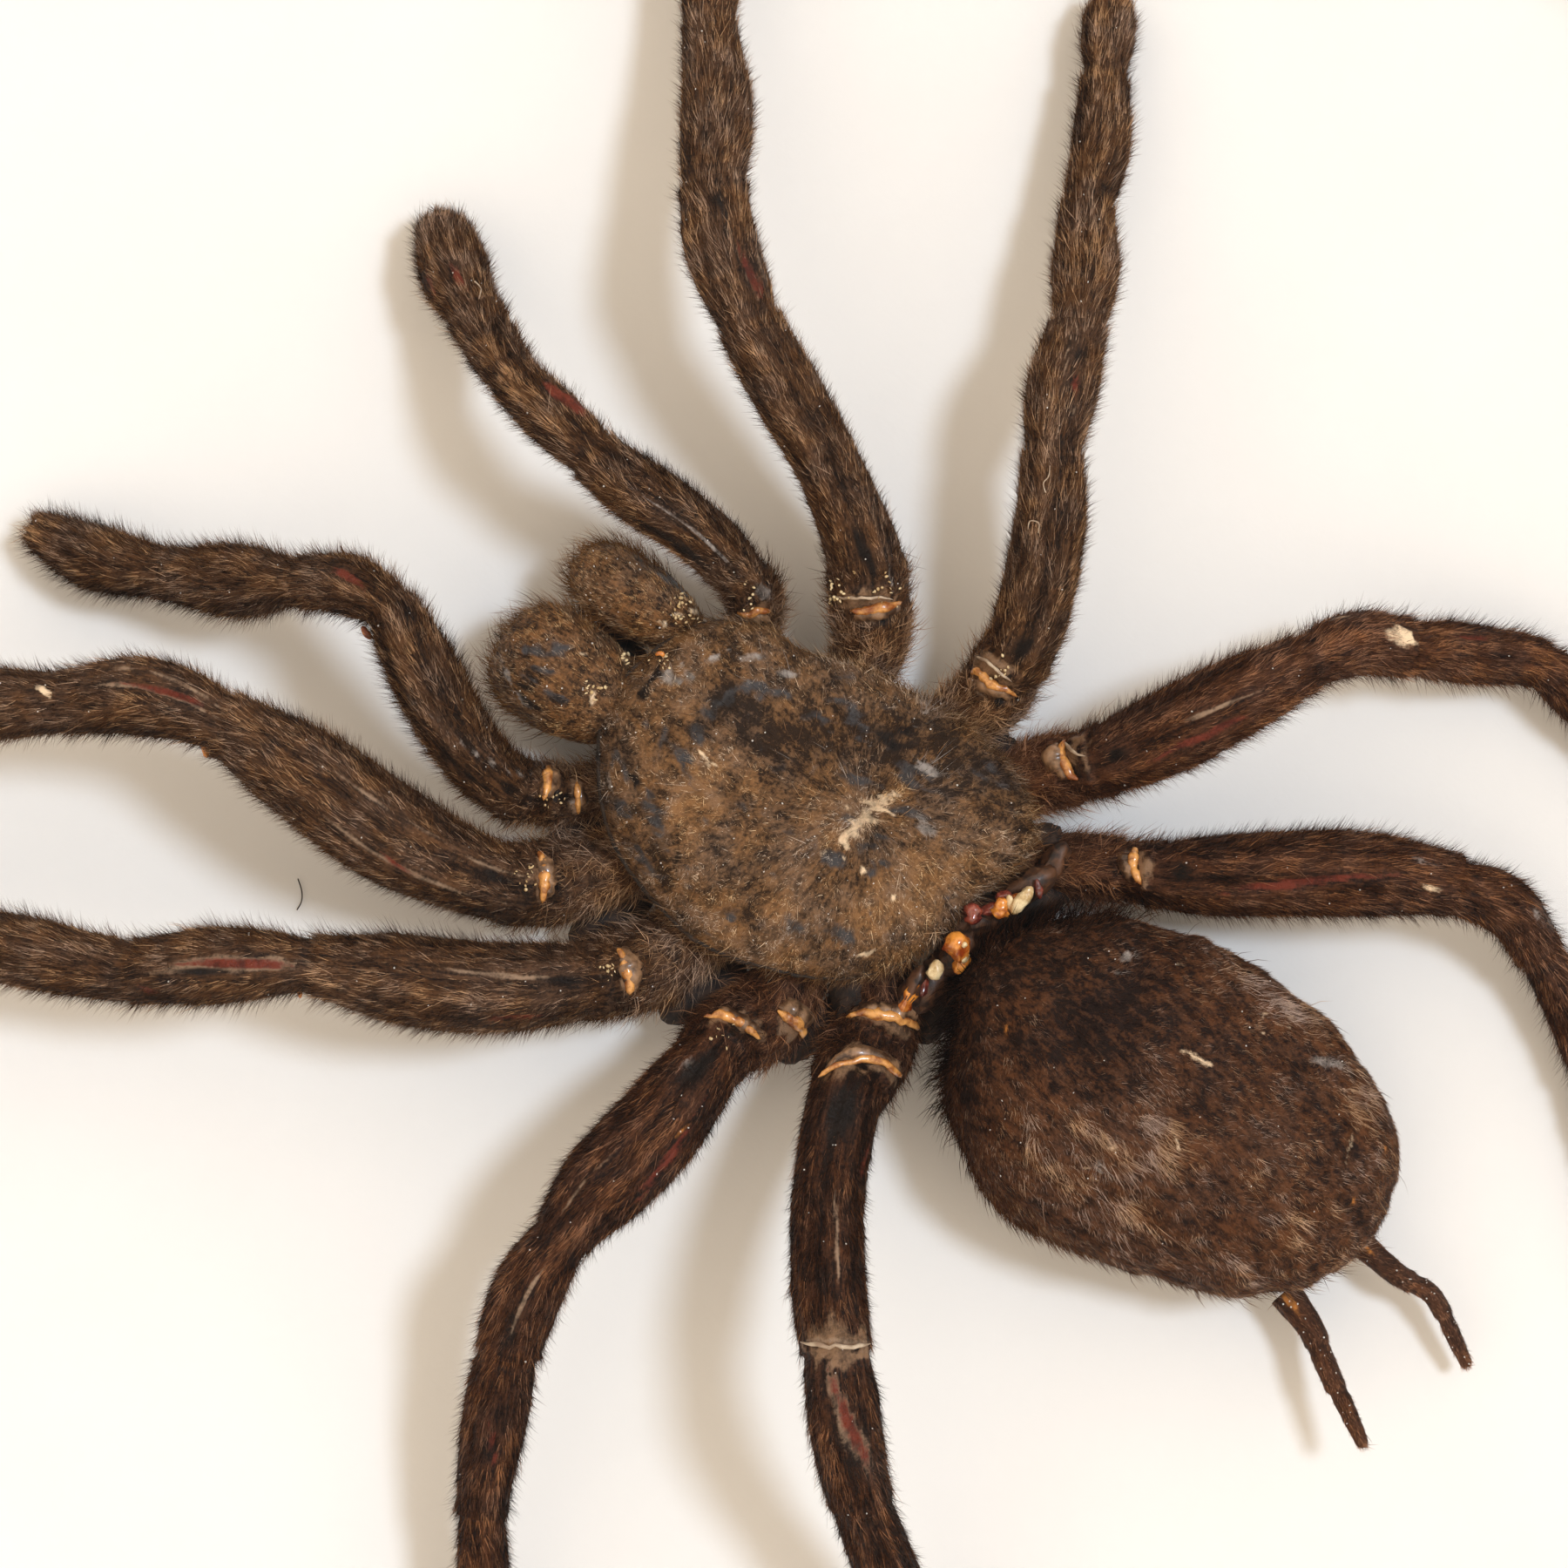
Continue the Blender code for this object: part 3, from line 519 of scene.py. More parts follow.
# What a coat has unless it says otherwise. Lengths and widths are in millimetres, lifts in degrees.
plainCoat = {
    "joints": 1, "longFew": 1.0,  # the higher, the fewer hairs are long
    "tuft": 1.6, "swirl": 0.30, "stray": 0.16,  # size and turn of the tufts, and each hair's own turn
    "unruly": 0.40,  # how unevenly the hairs catch the light
    "tone": (0.0, 0.8),  # darkest and palest
    "streak": 0.62, "grain": 0.55,  # how much that varies in streaks, and hair by hair
    "darkMany": 1.3,  # the higher, the more hairs are dark
}
streakWaves = ((0.34, 1.1), (0.40, 0.42), (0.26, 0.2))  # shares and lengths
# Corners of a hair as rows of place along it and side, its faces, and their spots on its map cell
straightHair = ((0, -1), (0, 1), (1, 0)), ((0, 1, 2),), ((0.1, 0.1), (0.9, 0.1), (0.5, 0.9))
bentHair = (
    ((0, -1), (0, 1), (0.5, -1), (0.5, 1), (1, 0)), ((0, 1, 3), (0, 3, 2), (2, 3, 4)),
    ((0.1, 0.1), (0.9, 0.1), (0.2, 0.5), (0.8, 0.5), (0.5, 0.9)),
)


# One coat of a piece's hair
def growCoat(skin, coat, weight, rng, seed):
    coat, form, count = {**plainCoat, **coat}, hairForm, coat["count"]
    read = skin.scatter(count, weight, rng)

    def pick(low, high, power=1.0):
        return low + (high - low) * rng.random(count) ** power

    root, normal, comb = read(skin.points), unit(read(skin.normals)), unit(read(skin.comb))
    size = read(coat["scale"]) if "scale" in coat else 1.0
    length = (pick(*coat["length"], coat["longFew"]) * size)[:, None]
    lift = pick(*np.radians(coat["lift"]))
    swirl = ripples(root, coat["tuft"], seed) * coat["swirl"]
    swirl = (swirl + rng.normal(0, coat["stray"], count))[:, None]
    comb = unit(comb * np.cos(swirl) + np.cross(normal, comb) * np.sin(swirl))

    def aim(angle):
        return comb * np.cos(angle)[:, None] + normal * np.sin(angle)[:, None]

    start = aim(lift)
    finish = start if coat["joints"] == 1 else aim(lift * form["bend"])
    root = root - normal * form["root"]
    flat = unit(np.cross(start, normal))
    roll = rng.uniform(-form["roll"], form["roll"], count)[:, None]
    half = (flat * np.cos(roll) + np.cross(start, flat) * np.sin(roll)) * coat["width"] / 2
    rows, faces, spots = straightHair if coat["joints"] == 1 else bentHair
    middle = root + start * length * 0.5
    places = {0: root, 0.5: middle, 1: middle + finish * length * 0.5}
    widths = {0: 1.0, 0.5: form["middle"], 1: 0.0}
    points = np.stack([places[place] + half * side * widths[place] for place, side in rows], axis=1)
    points[..., 2] = np.maximum(points[..., 2], cardFront + form["overCard"])
    facing = unit(normal + rng.normal(0, coat["unruly"], normal.shape))
    ways = [finish if place == 1 else start for place, side in rows]
    normals = np.stack([facing - (facing * way).sum(-1, keepdims=True) * way for way in ways], axis=1)
    waves = [(share, size, seed + number) for number, (share, size) in enumerate(streakWaves, 1)]
    streak = unevenness(read(skin.combed), *waves)
    low, high = coat["tone"]
    grain = rng.random(count) ** coat["darkMany"] - form["grainMiddle"]
    tone = low + (high - low) * np.clip(0.5 + coat["streak"] * streak + coat["grain"] * grain, 0, 1)
    each = len(rows)
    triangles = np.arange(count)[:, None, None] * each + np.array(faces)
    values = {
        "tone": np.repeat(tone, each), "tip": np.tile([float(place) for place, side in rows], count),
        "custom_normal": unit(normals).reshape(-1, 3),
        **{name: np.repeat(read(skin.marks[name]), each) for name in ("light", "slate", "frost")},
    }
    return points.reshape(-1, 3), triangles.reshape(-1, 3), values, np.tile(spots, (count, 1)), each


# The coats of one piece as one mesh, whose map gives every hair a cell of its own
def growHair(name, node, skin, coats, weights, material, seed):
    rng = np.random.default_rng(seed)
    grown = [growCoat(skin, coat, weights[kind], rng, seed) for kind, coat in coats.items()]
    offsets = np.cumsum([0] + [len(points) for points, *_ in grown])
    points = np.concatenate([points for points, *_ in grown])
    triangles = np.concatenate([coat[1] + offset for coat, offset in zip(grown, offsets)])
    mesh = addPiece(f"{name}_hair", points, triangles, material, (node,)).data
    for value in grown[0][2]:
        setPointValues(mesh, value, np.concatenate([coat[2][value] for coat in grown]))
    hairs = [len(coat[0]) // coat[4] for coat in grown]
    side = math.ceil(math.sqrt(sum(hairs)))
    first = np.cumsum([0] + hairs)
    number = np.concatenate([
        start + np.repeat(np.arange(count), coat[4]) for start, count, coat in zip(first, hairs, grown)
    ])
    spots = np.concatenate([coat[3] for coat in grown])
    cells = (np.stack([number % side, number // side], axis=1) + spots) / side
    hairMap = mesh.uv_layers.new(name="OFBake")
    hairMap.uv.foreach_set("vector", cells[triangles.ravel()].astype(np.float32).ravel())


# Limbs

# Stations along the middle of each limb: x, y, height above the card and width.
# A leg's are its coxa's root and end, its trochanter, the femur's base, middle and upper
# part, the knee, then the middle and end of patella, tibia, metatarsus and tarsus.
limbs = {
    "leg_right_1": (
        (4.6, 0.6, 3.0, 3.0), (8.2, 1.0, 3.1, 4.2), (10.4, 2.9, 4.4, 4.7), (11.6, 4.2, 5.8, 4.4),
        (13.9, 8.4, 8.0, 3.7), (15.6, 12.8, 9.1, 4.0), (16.9, 16.0, 9.6, 3.7), (18.7, 19.1, 9.3, 4.0),
        (21.2, 22.0, 7.8, 3.7), (24.7, 24.7, 6.2, 4.0), (27.8, 27.7, 4.8, 3.2), (30.9, 30.0, 3.9, 3.5),
        (33.7, 32.1, 3.2, 2.9), (36.2, 33.8, 2.6, 3.1), (38.6, 35.4, 2.0, 2.6),
    ),
    "leg_right_2": (
        (4.6, -3.4, 3.0, 2.8), (10.2, -5.4, 3.1, 4.2), (11.7, -5.1, 4.2, 4.2), (13.3, -4.9, 5.6, 4.2),
        (16.8, -3.3, 7.4, 4.1), (19.5, -1.6, 8.2, 3.9), (21.6, 0.0, 8.4, 3.5), (24.4, 1.7, 7.8, 4.0),
        (27.5, 3.1, 6.4, 3.4), (30.3, 4.8, 5.0, 3.7), (33.0, 6.8, 3.9, 3.1), (36.0, 8.3, 3.4, 3.4),
        (38.7, 10.2, 2.8, 2.8), (40.6, 11.5, 2.3, 3.1), (42.4, 12.8, 1.9, 2.7),
    ),
    "leg_right_3": (
        (3.9, -7.0, 3.0, 2.6), (8.8, -10.0, 3.1, 4.2), (10.6, -11.4, 4.6, 4.0), (11.8, -12.2, 5.8, 4.3),
        (15.6, -14.0, 7.4, 4.6), (19.1, -15.5, 7.9, 4.2), (21.4, -16.6, 7.4, 3.4), (24.0, -18.0, 6.2, 3.6),
        (25.7, -20.3, 4.7, 3.4), (27.7, -23.2, 3.4, 3.4), (29.6, -26.3, 2.6, 2.9), (29.6, -29.7, 2.2, 3.0),
        (29.0, -32.9, 1.9, 2.5), (28.3, -35.3, 1.8, 2.6), (27.3, -37.6, 1.5, 2.2),
    ),
    "leg_right_4": (
        (2.8, -9.6, 2.8, 2.4), (6.2, -14.2, 2.8, 3.6), (8.1, -17.0, 3.5, 3.7), (8.9, -18.3, 4.2, 4.1),
        (12.3, -22.3, 5.4, 4.7), (15.8, -26.6, 6.1, 4.5), (17.7, -29.9, 5.7, 3.5), (18.7, -32.9, 4.4, 3.4),
        (18.0, -35.8, 3.1, 3.0), (16.9, -39.0, 2.4, 3.0), (15.1, -42.0, 2.1, 2.7), (13.4, -44.8, 2.0, 2.8),
        (11.5, -47.4, 1.8, 2.4), (9.8, -49.4, 1.7, 2.5), (7.9, -51.2, 1.5, 2.1),
    ),
    "leg_left_1": (
        (-5.0, 2.2, 3.0, 2.8), (-10.2, 5.0, 3.1, 4.7), (-12.4, 7.0, 4.8, 4.8), (-13.2, 8.2, 6.2, 4.5),
        (-14.6, 13.5, 8.6, 5.3), (-15.0, 19.5, 10.3, 5.0), (-15.5, 23.8, 10.9, 3.6),
        (-17.0, 27.7, 10.6, 4.2), (-19.9, 30.8, 9.8, 3.7), (-22.6, 34.1, 8.8, 4.0), (-25.2, 37.5, 7.4, 3.3),
        (-27.7, 40.1, 5.9, 3.2), (-30.2, 42.6, 4.3, 2.7), (-32.1, 44.7, 2.9, 2.8), (-33.9, 46.6, 1.8, 2.4),
    ),
    "leg_left_2": (
        (-5.0, -1.8, 3.0, 2.8), (-11.0, -0.8, 3.1, 5.0), (-13.5, 0.8, 4.8, 4.7), (-14.6, 1.8, 6.2, 4.5),
        (-17.5, 5.0, 8.2, 5.0), (-20.3, 9.3, 9.3, 4.7), (-22.2, 12.6, 9.9, 3.4), (-25.1, 16.2, 10.0, 4.1),
        (-28.3, 19.5, 9.5, 3.6), (-30.8, 24.0, 8.5, 4.0), (-33.3, 28.5, 7.2, 3.4), (-35.3, 31.6, 5.8, 3.3),
        (-37.1, 34.6, 4.3, 2.7), (-38.7, 36.9, 2.9, 2.8), (-40.2, 39.1, 1.8, 2.4),
    ),
    "leg_left_3": (
        (-4.4, -5.6, 3.0, 2.8), (-9.6, -6.9, 3.1, 4.9), (-12.2, -6.0, 5.0, 4.5), (-13.5, -6.0, 6.6, 4.3),
        (-17.5, -6.1, 8.8, 5.0), (-21.7, -5.8, 9.6, 4.8), (-24.7, -5.8, 9.8, 3.6), (-28.0, -6.2, 9.3, 3.9),
        (-31.2, -7.4, 8.0, 3.6), (-35.0, -9.5, 7.0, 3.6), (-38.7, -11.7, 6.0, 2.9),
        (-41.4, -13.9, 4.9, 2.9), (-44.0, -16.3, 3.7, 2.5), (-45.7, -18.2, 2.6, 2.5),
        (-47.4, -20.0, 1.6, 2.2),
    ),
    "leg_left_4": (
        (-2.8, -8.9, 3.0, 2.8), (-6.3, -11.6, 3.0, 4.7), (-8.9, -12.3, 4.8, 5.0), (-10.2, -12.5, 6.6, 4.4),
        (-14.6, -14.9, 9.8, 4.1), (-18.1, -17.8, 12.4, 4.2), (-20.3, -20.0, 13.6, 3.9),
        (-23.0, -22.8, 13.0, 3.9), (-25.5, -26.0, 10.8, 3.5), (-28.0, -30.1, 8.2, 3.5),
        (-30.2, -34.0, 6.0, 3.1), (-32.2, -37.6, 4.5, 3.0), (-34.2, -40.9, 3.2, 2.6),
        (-35.7, -43.5, 2.3, 2.7), (-37.1, -45.9, 1.7, 2.4),
    ),
    "palp_right": (
        (3.2, 5.0, 2.8, 2.4), (5.6, 6.4, 3.0, 2.8), (6.5, 7.4, 4.6, 3.2), (6.8, 8.3, 5.8, 3.1),
        (7.1, 11.9, 8.2, 3.5), (6.8, 15.5, 9.6, 3.6), (6.8, 17.9, 10.4, 3.0), (7.0, 20.5, 10.1, 3.3),
        (7.2, 23.3, 8.6, 3.0), (7.8, 25.5, 6.6, 3.2), (8.6, 27.5, 5.0, 3.3), (9.6, 29.9, 3.6, 3.8),
        (11.3, 32.3, 2.1, 3.0),
    ),
    "palp_left": (
        (-3.6, 5.4, 2.8, 2.6), (-7.3, 8.1, 3.0, 3.1), (-8.6, 9.9, 5.0, 3.5), (-9.1, 11.0, 6.6, 3.7),
        (-8.4, 14.7, 9.4, 3.8), (-6.9, 18.3, 11.0, 3.9), (-5.8, 20.7, 11.2, 3.0), (-6.1, 23.3, 9.8, 3.4),
        (-7.6, 25.5, 7.6, 3.1), (-9.8, 28.4, 5.6, 3.9), (-11.8, 31.5, 4.2, 3.1), (-13.4, 34.8, 3.1, 3.7),
        (-14.4, 38.5, 2.0, 2.2),
    ),
    "spinneret_right": (
        (0.5, -38.0, 2.4, 1.6), (0.5, -40.6, 2.8, 1.4), (0.8, -42.7, 2.6, 1.3), (0.0, -44.7, 2.2, 1.1),
        (-0.9, -46.6, 1.8, 0.8),
    ),
    "spinneret_left": (
        (-4.0, -36.8, 2.3, 1.8), (-4.5, -39.0, 2.7, 1.6), (-5.5, -40.8, 3.3, 1.4), (-6.4, -42.6, 3.9, 1.2),
        (-7.5, -44.7, 4.5, 0.8),
    ),
}
limbForm = {
    "ringsToStation": 5, "around": 36, "tipRings": 6,
    "topCrowd": 0.55,  # how much closer the skin's points are along the top
    "furDepth": 0.20,  # how far the skin lies under the fur's tips
    "small": 0.45,  # how much smaller such things are on a spinneret
    # how much thinner a segment's base is than the end it comes out of, how far on, and that end's lip
    "jointStep": 0.20, "jointReach": 0.9, "lip": 0.05,
    "furrows": (0.14, 1.5, 13), "lumps": ((0.06, 1.5, 11), (0.035, 0.6, 12)),
    "bands": (0.24, 1.7, 62), "coxaLight": 0.34,
    # how ragged marks and the bald skin beside rims are, and how wide that skin is
    "raggedMark": (0.40, 0.7, 61), "raggedRim": (0.45, 0.8, 63), "rimSkin": 1.9,
    # how far marks sink or rise, and how much wider than the mark
    "relief": {
        "tan": (0.10, 2.2), "pale": (0.10, 1.6), "frost": (0.07, 1.6), "red": (-0.24, 1.9),
        "dark": (-0.12, 1.8),
    },
}
# Where segments meet, as stations
legJoints = (1.75, 2.75, 6.0, 8.0, 10.0, 12.0)
palpJoints = (1.75, 2.75, 6.0, 8.0, 10.0)
spinneretJoints = (1.4, 2.6)

# Strips and spots of skin as seen from above: kind, x and y of both ends, and width. The frost strips are
# painted highlights, pale where glossy skin catches the light.
limbMarks = {
    "leg_right_1": (
        ("red", 18.3, 16.5, 19.5, 18.7, 0.60), ("dark", 19.7, 19.5, 20.5, 20.9, 0.45),
        ("tan", 18.0, 16.3, 19.2, 18.9, 0.16), ("tan", 18.8, 15.9, 19.9, 18.3, 0.16),
        ("dark", 10.2, 1.5, 11.2, 3.2, 0.99), ("dark", 11.6, 4.0, 12.6, 6.2, 0.81),
        ("frost", 10.9, 2.1, 11.2, 2.4, 0.5), ("frost", 11.9, 2.7, 12.7, 4.1, 0.25),
    ),
    "leg_right_2": (
        ("red", 24.2, 0.6, 25.1, 1.6, 0.55), ("dark", 25.3, 1.4, 26.4, 2.4, 0.45),
        ("tan", 23.0, -0.3, 23.9, 0.7, 0.24), ("tan", 23.2, 0.9, 26.6, 3.1, 0.14),
        ("dark", 11.0, -5.6, 12.4, -5.2, 0.99), ("dark", 13.2, -4.9, 14.6, -4.4, 0.99),
    ),
    "leg_right_3": (
        ("pale", 25.2, -18.3, 25.8, -19.9, 1.0), ("tan", 23.6, -16.1, 24.8, -17.0, 0.24),
        ("tan", 15.2, -13.5, 19.0, -15.7, 0.24), ("red", 13.6, -14.1, 17.6, -16.0, 0.62),
        ("red", 27.4, -21.3, 28.8, -23.2, 0.3), ("dark", 10.1, -10.6, 11.3, -12.4, 0.81),
        ("dark", 12.0, -12.0, 13.2, -12.9, 0.74),
    ),
    "leg_right_4": (
        ("red", 10.0, -21.0, 15.8, -26.6, 0.42), ("frost", 17.4, -27.0, 17.5, -27.6, 0.5),
        ("pale", 16.5, -28.3, 16.9, -29.2, 0.4), ("frost", 19.1, -33.0, 19.8, -34.8, 0.35),
        ("dark", 7.4, -16.2, 8.5, -17.6, 0.74), ("dark", 9.2, -18.4, 10.0, -19.4, 0.81),
    ),
    "leg_left_1": (
        ("tan", -17.6, 30.6, -14.9, 24.1, 0.24), ("tan", -18.1, 29.9, -15.5, 24.3, 0.24),
        ("red", -16.8, 28.6, -15.5, 25.2, 0.5), ("tan", -13.8, 17.4, -12.6, 8.5, 0.24),
        ("tan", -16.0, 18.0, -14.3, 8.5, 0.24), ("red", -15.7, 14.5, -15.5, 12.2, 0.3),
        ("pale", -19.9, 31.2, -19.8, 32.2, 0.4), ("dark", -12.0, 6.2, -12.9, 7.6, 0.74),
        ("dark", -13.1, 8.4, -13.4, 10.2, 0.68),
    ),
    "leg_left_2": (
        ("tan", -26.8, 18.0, -22.4, 13.0, 0.95), ("red", -26.0, 17.4, -22.9, 13.6, 0.62),
        ("dark", -26.6, 17.6, -25.0, 15.6, 0.5), ("tan", -19.8, 10.4, -14.3, 1.8, 0.24),
        ("red", -19.6, 5.0, -17.3, 2.6, 0.35), ("red", -28.3, 18.7, -28.5, 17.3, 0.45),
        ("dark", -13.0, 0.2, -14.2, 1.6, 0.74), ("dark", -14.8, 2.2, -15.9, 3.7, 0.62),
    ),
    "leg_left_3": (
        ("red", -16.3, -7.1, -21.0, -7.5, 0.42), ("amber", -17.0, -7.2, -18.0, -7.2, 0.3),
        ("tan", -19.5, -5.2, -24.0, -5.0, 0.22), ("tan", -26.0, -6.0, -30.2, -6.9, 0.24),
        ("red", -34.5, -9.0, -35.8, -10.4, 0.3), ("frost", -15.0, -4.9, -15.2, -5.8, 0.35),
        ("dark", -11.6, -5.4, -13.0, -6.5, 0.99), ("dark", -13.6, -5.9, -16.4, -5.6, 1.18),
    ),
    "leg_left_4": (
        ("red", -11.8, -15.2, -13.4, -16.1, 0.42), ("tan", -15.0, -15.6, -18.6, -19.0, 0.24),
        ("tan", -21.0, -19.9, -23.5, -24.9, 1.15), ("red", -21.2, -20.3, -23.4, -24.7, 0.80),
        ("dark", -9.0, -11.6, -10.2, -12.9, 1.05), ("dark", -10.4, -12.4, -13.2, -14.2, 1.49),
        ("tan", -18.7, -21.4, -21.4, -18.2, 0.24),
    ),
    "palp_right": (
        ("red", 7.9, 21.7, 8.1, 18.9, 0.75), ("dark", 5.3, 15.3, 6.1, 10.1, 0.75),
        ("frost", 6.7, 15.5, 6.9, 9.1, 0.22), ("frost", 7.1, 8.6, 7.2, 7.5, 0.6),
        ("red", 7.7, 29.4, 8.5, 30.6, 0.5), ("red", 9.1, 28.1, 9.5, 29.3, 0.45),
        ("dark", 5.6, 6.5, 6.5, 7.6, 0.93),
    ),
    "palp_left": (
        ("red", -5.7, 24.2, -5.7, 21.8, 0.6), ("frost", -8.4, 16.8, -6.4, 11.2, 0.26),
        ("dark", -9.2, 16.6, -9.6, 11.4, 0.45), ("dark", -7.4, 8.2, -9.0, 10.4, 0.74),
        ("frost", -7.4, 7.5, -8.3, 8.9, 0.35), ("dark", -9.0, 11.0, -8.9, 12.4, 0.62),
    ),
    "spinneret_right": (("amber", 0.5, -37.6, 0.5, -38.9, 0.45),),
    "spinneret_left": (("amber", -3.9, -36.4, -4.2, -38.0, 0.5),),
}
limbMarkShares = {"dark": 0.95, "frost": 0.66, "tan": 0.90}  # how fully they cover the skin
# Raised rims and folds: kind, x and y of both ends, thickness, and how far the middle bows
limbRims = {
    "leg_right_1": (("amber", 9.8, 3.7, 11.6, 1.9, 0.34, 0.35), ("pale", 9.6, 4.6, 11.7, 2.6, 0.16, 0.5)),
    "leg_right_2": (
        ("amber", 11.2, -3.7, 12.1, -6.2, 0.36, 0.4), ("pale", 11.9, -3.4, 12.7, -5.6, 0.16, 0.5),
    ),
    "leg_right_3": (
        ("amber", 10.7, -12.2, 11.3, -10.2, 0.40, -0.4), ("pale", 11.3, -10.3, 11.8, -11.6, 0.2, -0.2),
    ),
    "leg_right_4": (("amber", 8.1, -18.1, 9.1, -16.5, 0.36, -0.3),),
    "leg_left_1": (("amber", -13.4, 6.9, -11.3, 8.2, 0.40, 0.25),),
    "leg_left_2": (("amber", -14.3, 0.0, -12.8, 1.9, 0.42, 0.25),),
    "leg_left_3": (
        ("amber", -12.9, -4.5, -12.0, -6.9, 0.34, 0.35), ("amber", -9.8, -9.2, -10.4, -6.8, 0.42, -0.4),
    ),
    "leg_left_4": (
        ("amber", -8.4, -14.4, -11.2, -11.2, 0.30, 0.3), ("amber", -5.8, -13.6, -8.0, -10.3, 0.40, -0.3),
        ("pale", -18.7, -21.4, -21.4, -18.2, 0.24, 0.2),
    ),
    "palp_right": (("amber", 5.6, 8.0, 6.9, 7.0, 0.30, 0.35),),
    "palp_left": (
        ("amber", -9.1, 10.1, -7.2, 10.3, 0.34, 0.25), ("amber", -7.2, 9.0, -8.2, 7.6, 0.22, 0.2),
    ),
}


class Limb:
    def __init__(self, name):
        form = limbForm
        self.name = name
        self.stations = np.array(limbs[name])
        self.joints = {"leg": legJoints, "palp": palpJoints}.get(name.split("_")[0], spinneretJoints)
        self.big = not name.startswith("spinneret")
        self.scale = 1.0 if self.big else form["small"]
        self.makeSkin()
        skin, points = self.skin, self.skin.points
        self.bare = np.zeros(points.shape[:2])  # where little hair hides the skin
        for kind, *mark, width in limbMarks[name]:
            edge = self.stripEdge(*mark, width) + unevenness(points, form["raggedMark"])
            skin.mark(kind, limbMarkShares.get(kind, 1.05) * (1 - smoothStep(0.45, 1.55, edge)))
            self.bare = np.maximum(self.bare, 1 - smoothStep(0.6, 1.3, self.stripEdge(*mark, width + 0.5)))
        for kind, *ends, thickness, bow in limbRims.get(name, ()):
            edge = self.stripEdge(*ends, form["rimSkin"]) + unevenness(points, form["raggedRim"])
            skin.mark("bald", 0.95 * (1 - smoothStep(0.5, 1.4, edge)))
            self.bare = np.maximum(self.bare, 1 - smoothStep(0.7, 1.3, edge))
        coxa = smoothStep(2.1, 1.0, self.position)[:, None] * float(self.big)
        bands = unevenness(skin.combed * (0.8, 0.8, 0.4), form["bands"])
        skin.marks["light"] = limbShades.get(name, 0.0) + form["coxaLight"] * coxa + bands

    def makeSkin(self):
        form, stations = limbForm, self.stations
        last, tip = len(stations) - 1, stations[-1]
        end = last - tip[3] / 2 / np.linalg.norm(tip[:3] - stations[-2][:3])
        near = [joint + np.linspace(-0.2, 0.28, 12) for joint in self.joints]
        positions = np.unique(np.round(np.concatenate([
            np.arange(0, end, 1 / form["ringsToStation"]), *near, [end],
        ]), 3))
        rows = readRows(stations, positions)
        beside = 0.04
        ahead = readRows(stations, np.clip(positions + beside, 0, last))
        behind = readRows(stations, np.clip(positions - beside, 0, last))
        along = unit((ahead - behind)[:, :3])
        radius = rows[:, 3] / 2 - form["furDepth"] * self.scale
        # a round tip
        rise = np.sin(np.linspace(0, math.pi / 2, form["tipRings"] + 1))[1:]
        middle = rows[-1, :3] + along[-1] * rise[:, None] * radius[-1]
        middle = np.vstack([rows[0, :3], rows[:, :3], middle])
        along = np.vstack([along[:1], along, np.repeat(along[-1:], len(rise), axis=0)])
        radius = np.concatenate([[0.0], radius, radius[-1] * np.sqrt(np.maximum(1 - rise ** 2, 0))])
        self.position = np.concatenate([positions[:1], positions, end + rise * (last - end)])
        turn = np.linspace(-math.pi, math.pi, form["around"], endpoint=False)
        self.angle = turn - form["topCrowd"] * np.sin(turn)
        self.side = unit(np.cross(along, up))
        self.upward = np.cross(self.side, along)
        self.travel = np.concatenate([[0.0], np.cumsum(lengthOf(np.diff(middle, axis=0))[:, 0])])
        for joint in self.joints:
            away = self.travel - np.interp(joint, self.position, self.travel)
            thinner = np.exp(-np.maximum(away, 0) / form["jointReach"]) * smoothStep(-0.12, 0.24, away)
            lip = np.exp(-(np.minimum(away + 0.1, 0) / 0.4) ** 2) * (1 - smoothStep(-0.1, 0.1, away))
            step = form["lip"] * lip - form["jointStep"] * thinner
            radius = np.maximum(radius + self.scale * step, 0)
        radius[0] = radius[-1] = 0.0
        self.middle, self.along, self.radius = middle + up * cardFront, along, radius
        turn = self.angle[None, :, None]
        self.out = self.upward[:, None] * np.cos(turn) + self.side[:, None] * np.sin(turn)
        plain = self.middle[:, None] + self.out * radius[:, None, None]
        reach = radius[:, None] * 1.6
        combed = np.stack(np.broadcast_arrays(
            reach * np.cos(self.angle), reach * np.sin(self.angle), self.travel[:, None] * 0.22,
        ), axis=-1)
        # dried skin sinks into long furrows and rises along the marked lines
        relief = unevenness(combed * (0.8, 0.8, 0.5), form["furrows"]) + unevenness(plain, *form["lumps"])
        for kind, *mark, width in limbMarks[self.name]:
            if kind in form["relief"]:
                height, wider = form["relief"][kind]
                relief += height * (1 - smoothStep(0.3, 1.2, self.stripEdge(*mark, width * wider)))
        points = plain + self.out * (relief * np.minimum(radius, 0.8)[:, None])[..., None]
        comb = np.repeat(along[:, None], len(self.angle), axis=1)
        comb[-form["tipRings"]:] += self.out[-form["tipRings"]:] * 0.6
        self.skin = Skin(points, comb, combed)

    # Travel and angle of the spot that is seen at x, y from above
    def locate(self, x, y):
        away = np.array((x, y)) - self.middle[:, :2]
        ahead = (away * self.along[:, :2]).sum(axis=1)
        aside = (away * self.side[:, :2]).sum(axis=1)
        closed, atMost = self.radius < 0.2, 0.92
        ring = np.argmin(ahead ** 2 + 0.05 * aside ** 2 + 9.0 * closed)
        lean = np.clip(aside[ring] / self.radius[ring], -atMost, atMost)
        return self.travel[ring] + np.clip(ahead[ring], -0.5, 0.5), math.asin(lean)

